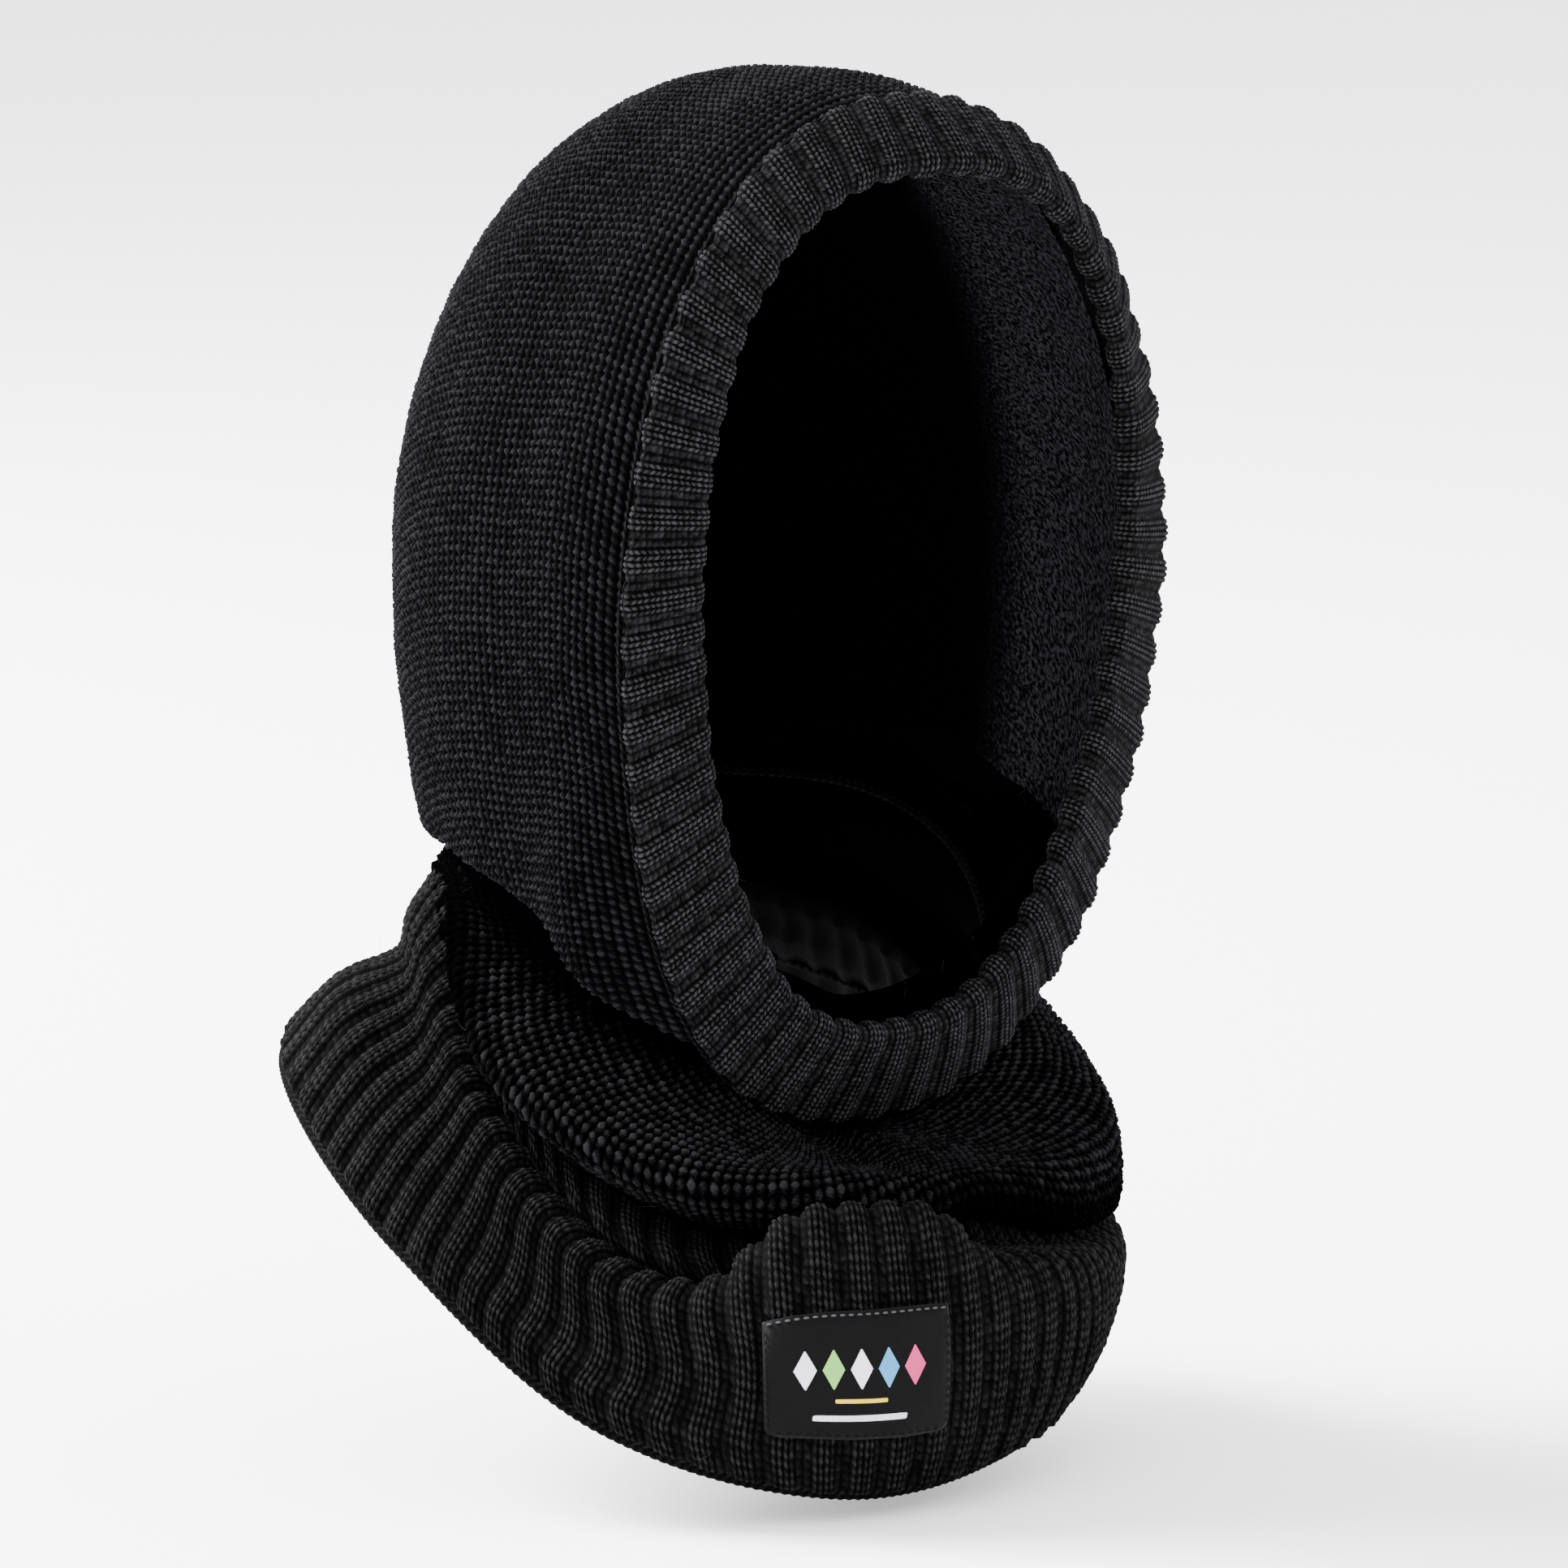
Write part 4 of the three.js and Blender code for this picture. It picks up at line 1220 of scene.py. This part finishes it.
def motif_shape(centre_p, centre_q, size, pointed):
    """A grid of points for one lozenge or bar, domed over the label's face."""
    x, y = np.meshgrid(np.linspace(-1, 1, 9), np.linspace(-1, 1, 13), indexing="ij")
    half = 1 - np.abs(y) if pointed else 1 + 0 * y
    p = centre_p + size[0] / 2 * x * np.maximum(half, 0.02)
    q = centre_q + size[1] / 2 * y
    rim = np.minimum(1 - np.abs(x), 1 - np.abs(y))
    dome = DOME_HEIGHT * np.sqrt(np.clip(rim, 0, 1))
    return label_place(p, q, LABEL_FACE + label_ripple(p, q) + dome - 0.04)


def motif_mesh(name):
    grids = [motif_shape(p, LOZENGE_Q, LOZENGE_SIZE, True) for p, _ in LOZENGES]
    grids += [motif_shape(0.0, q, size, False) for q, size, _ in BARS]
    points = np.stack(grids)
    count, n, m = points.shape[:3]
    index = np.arange(count * n * m).reshape(count, n, m)
    corners = [index[:, 1:, :-1], index[:, 1:, 1:], index[:, :-1, 1:], index[:, :-1, :-1]]
    faces = np.stack(corners, -1).reshape(-1, 4).tolist()
    k, i, j = np.meshgrid(np.arange(count), np.arange(n) / n, np.arange(m) / m, indexing="ij")
    flat = np.stack([(k + 0.05 + 0.9 * i) / count, 0.05 + 0.9 * j], -1).reshape(-1, 2)
    piece = polygon_mesh(name, points, faces, {"OFBake": flat, "knit": flat * 30})
    tints = np.array([(*shape[-1], 1.0) for shape in LOZENGES + BARS], np.float32)
    piece.data.attributes.new("tint", "FLOAT_COLOR", "POINT").data.foreach_set(
        "color", np.repeat(tints, n * m, axis=0).ravel())
    return dress(piece, MOTIF, "label_thread")


motif = motif_mesh("label_motif")


def stray_fibres(name, pieces):
    """Loose hairs of yarn that stand off the knit, as one piece."""
    rng = np.random.default_rng(FIBRE_SEED)
    sides, bends = 3, 7
    t = np.linspace(0, 1, bends)
    turn = np.arange(sides) / sides * 2 * PI
    thin = FIBRE_RADIUS * (1 - 0.7 * t)
    grids = []
    for piece in pieces:
        spots = np.empty(len(piece.data.vertices) * 3, np.float32)
        piece.data.vertices.foreach_get("co", spots)
        spots = spots.reshape(-1, 3).astype(float) / MM
        centre = spots.mean(0)
        for k in rng.choice(len(spots), FIBRES_EACH, replace=False):
            root = spots[k]
            out = unit(root - centre)
            side = unit(np.cross(out, rng.normal(size=3)))
            bend = unit(np.cross(out, side) + 0.4 * rng.normal(size=3))
            long = rng.uniform(3, 8)
            path = (root + np.outer(t * long * 0.35 * (1 - 0.5 * t), out)
                    + np.outer(t * long * 0.7, side) + np.outer(t * t * long * rng.uniform(-0.5, 0.5), bend))
            ring = np.cos(turn)[:, None] * out + np.sin(turn)[:, None] * bend
            grids.append(path[:, None] + thin[:, None, None] * ring[None])
    points = np.stack(grids)
    spot = np.arange(points.size // 3)
    flat = np.stack([0.01 + 0.98 * spot / len(spot), 0.1 + 0.8 * (spot % sides) / sides], -1)
    quads = tube_quads(spot.reshape(points.shape[:3]))
    hairs = polygon_mesh(name, points, quads, {"OFBake": flat, "knit": flat})
    return dress(hairs, FIBRE, "hood_knit")


stray_fibres("stray_fibres", [hood, trim, neck, cowl])

# ---- Floor, light and camera

floor_z = cad_box[0][2] - FLOOR_GAP
floor_corners = [(x * FLOOR_HALF, y * FLOOR_HALF, floor_z) for x, y in ((-1, -1), (1, -1), (1, 1), (-1, 1))]
floor_mesh = bpy.data.meshes.new("floor")
floor_mesh.from_pydata(floor_corners, [], [(0, 1, 2, 3)])
floor = link_object("floor", floor_mesh)
paper = Surface("floor_paper")
paper.shader.inputs["Base Color"].default_value = (0.93, 0.93, 0.93, 1)
paper.shader.inputs["Roughness"].default_value = 0.9
floor_mesh.materials.append(paper.material)

world = bpy.data.worlds.new("studio")
world.use_nodes = True
background = world.node_tree.nodes["Background"]
background.inputs[0].default_value = (0.98, 0.98, 1.0, 1)
background.inputs[1].default_value = 3.5
bpy.context.scene.world = world


def area_light(name, place, target, size, watts):
    light = bpy.data.lights.new(name, "AREA")
    light.size = size
    light.energy = watts
    lamp = link_object(name, light)
    lamp.location = place
    lamp.rotation_euler = (Vector(target) - Vector(place)).to_track_quat("-Z", "Y").to_euler()


area_light("key", (-1.3, 1.8, 2.1), (0, 0, 0), 1.4, 430)
area_light("rim", (-0.9, 2.3, 1.8), (0, 0, 0.02), 1.2, 330)
area_light("fill", (1.4, -1.6, 0.7), (0, 0, -0.05), 1.4, 30)

azimuth, elevation = math.radians(CAMERA_AZIMUTH), math.radians(CAMERA_ELEVATION)
right = Vector((math.cos(azimuth), math.sin(azimuth), 0))
level = Vector((math.sin(azimuth), -math.cos(azimuth), 0))
back = level * math.cos(elevation) + Vector((0, 0, math.sin(elevation)))
up = back.cross(right)
camera_data = bpy.data.cameras.new("camera")
camera_data.lens = CAMERA_LENS
camera_data.sensor_width = SENSOR_WIDTH
camera_data.clip_end = CAMERA_REACH
camera = link_object("camera", camera_data)
turn = Matrix((right, up, back)).transposed().to_4x4()
camera.matrix_world = Matrix.Translation(-up * CAMERA_DROP + back * CAMERA_DISTANCE) @ turn
bpy.context.scene.camera = camera
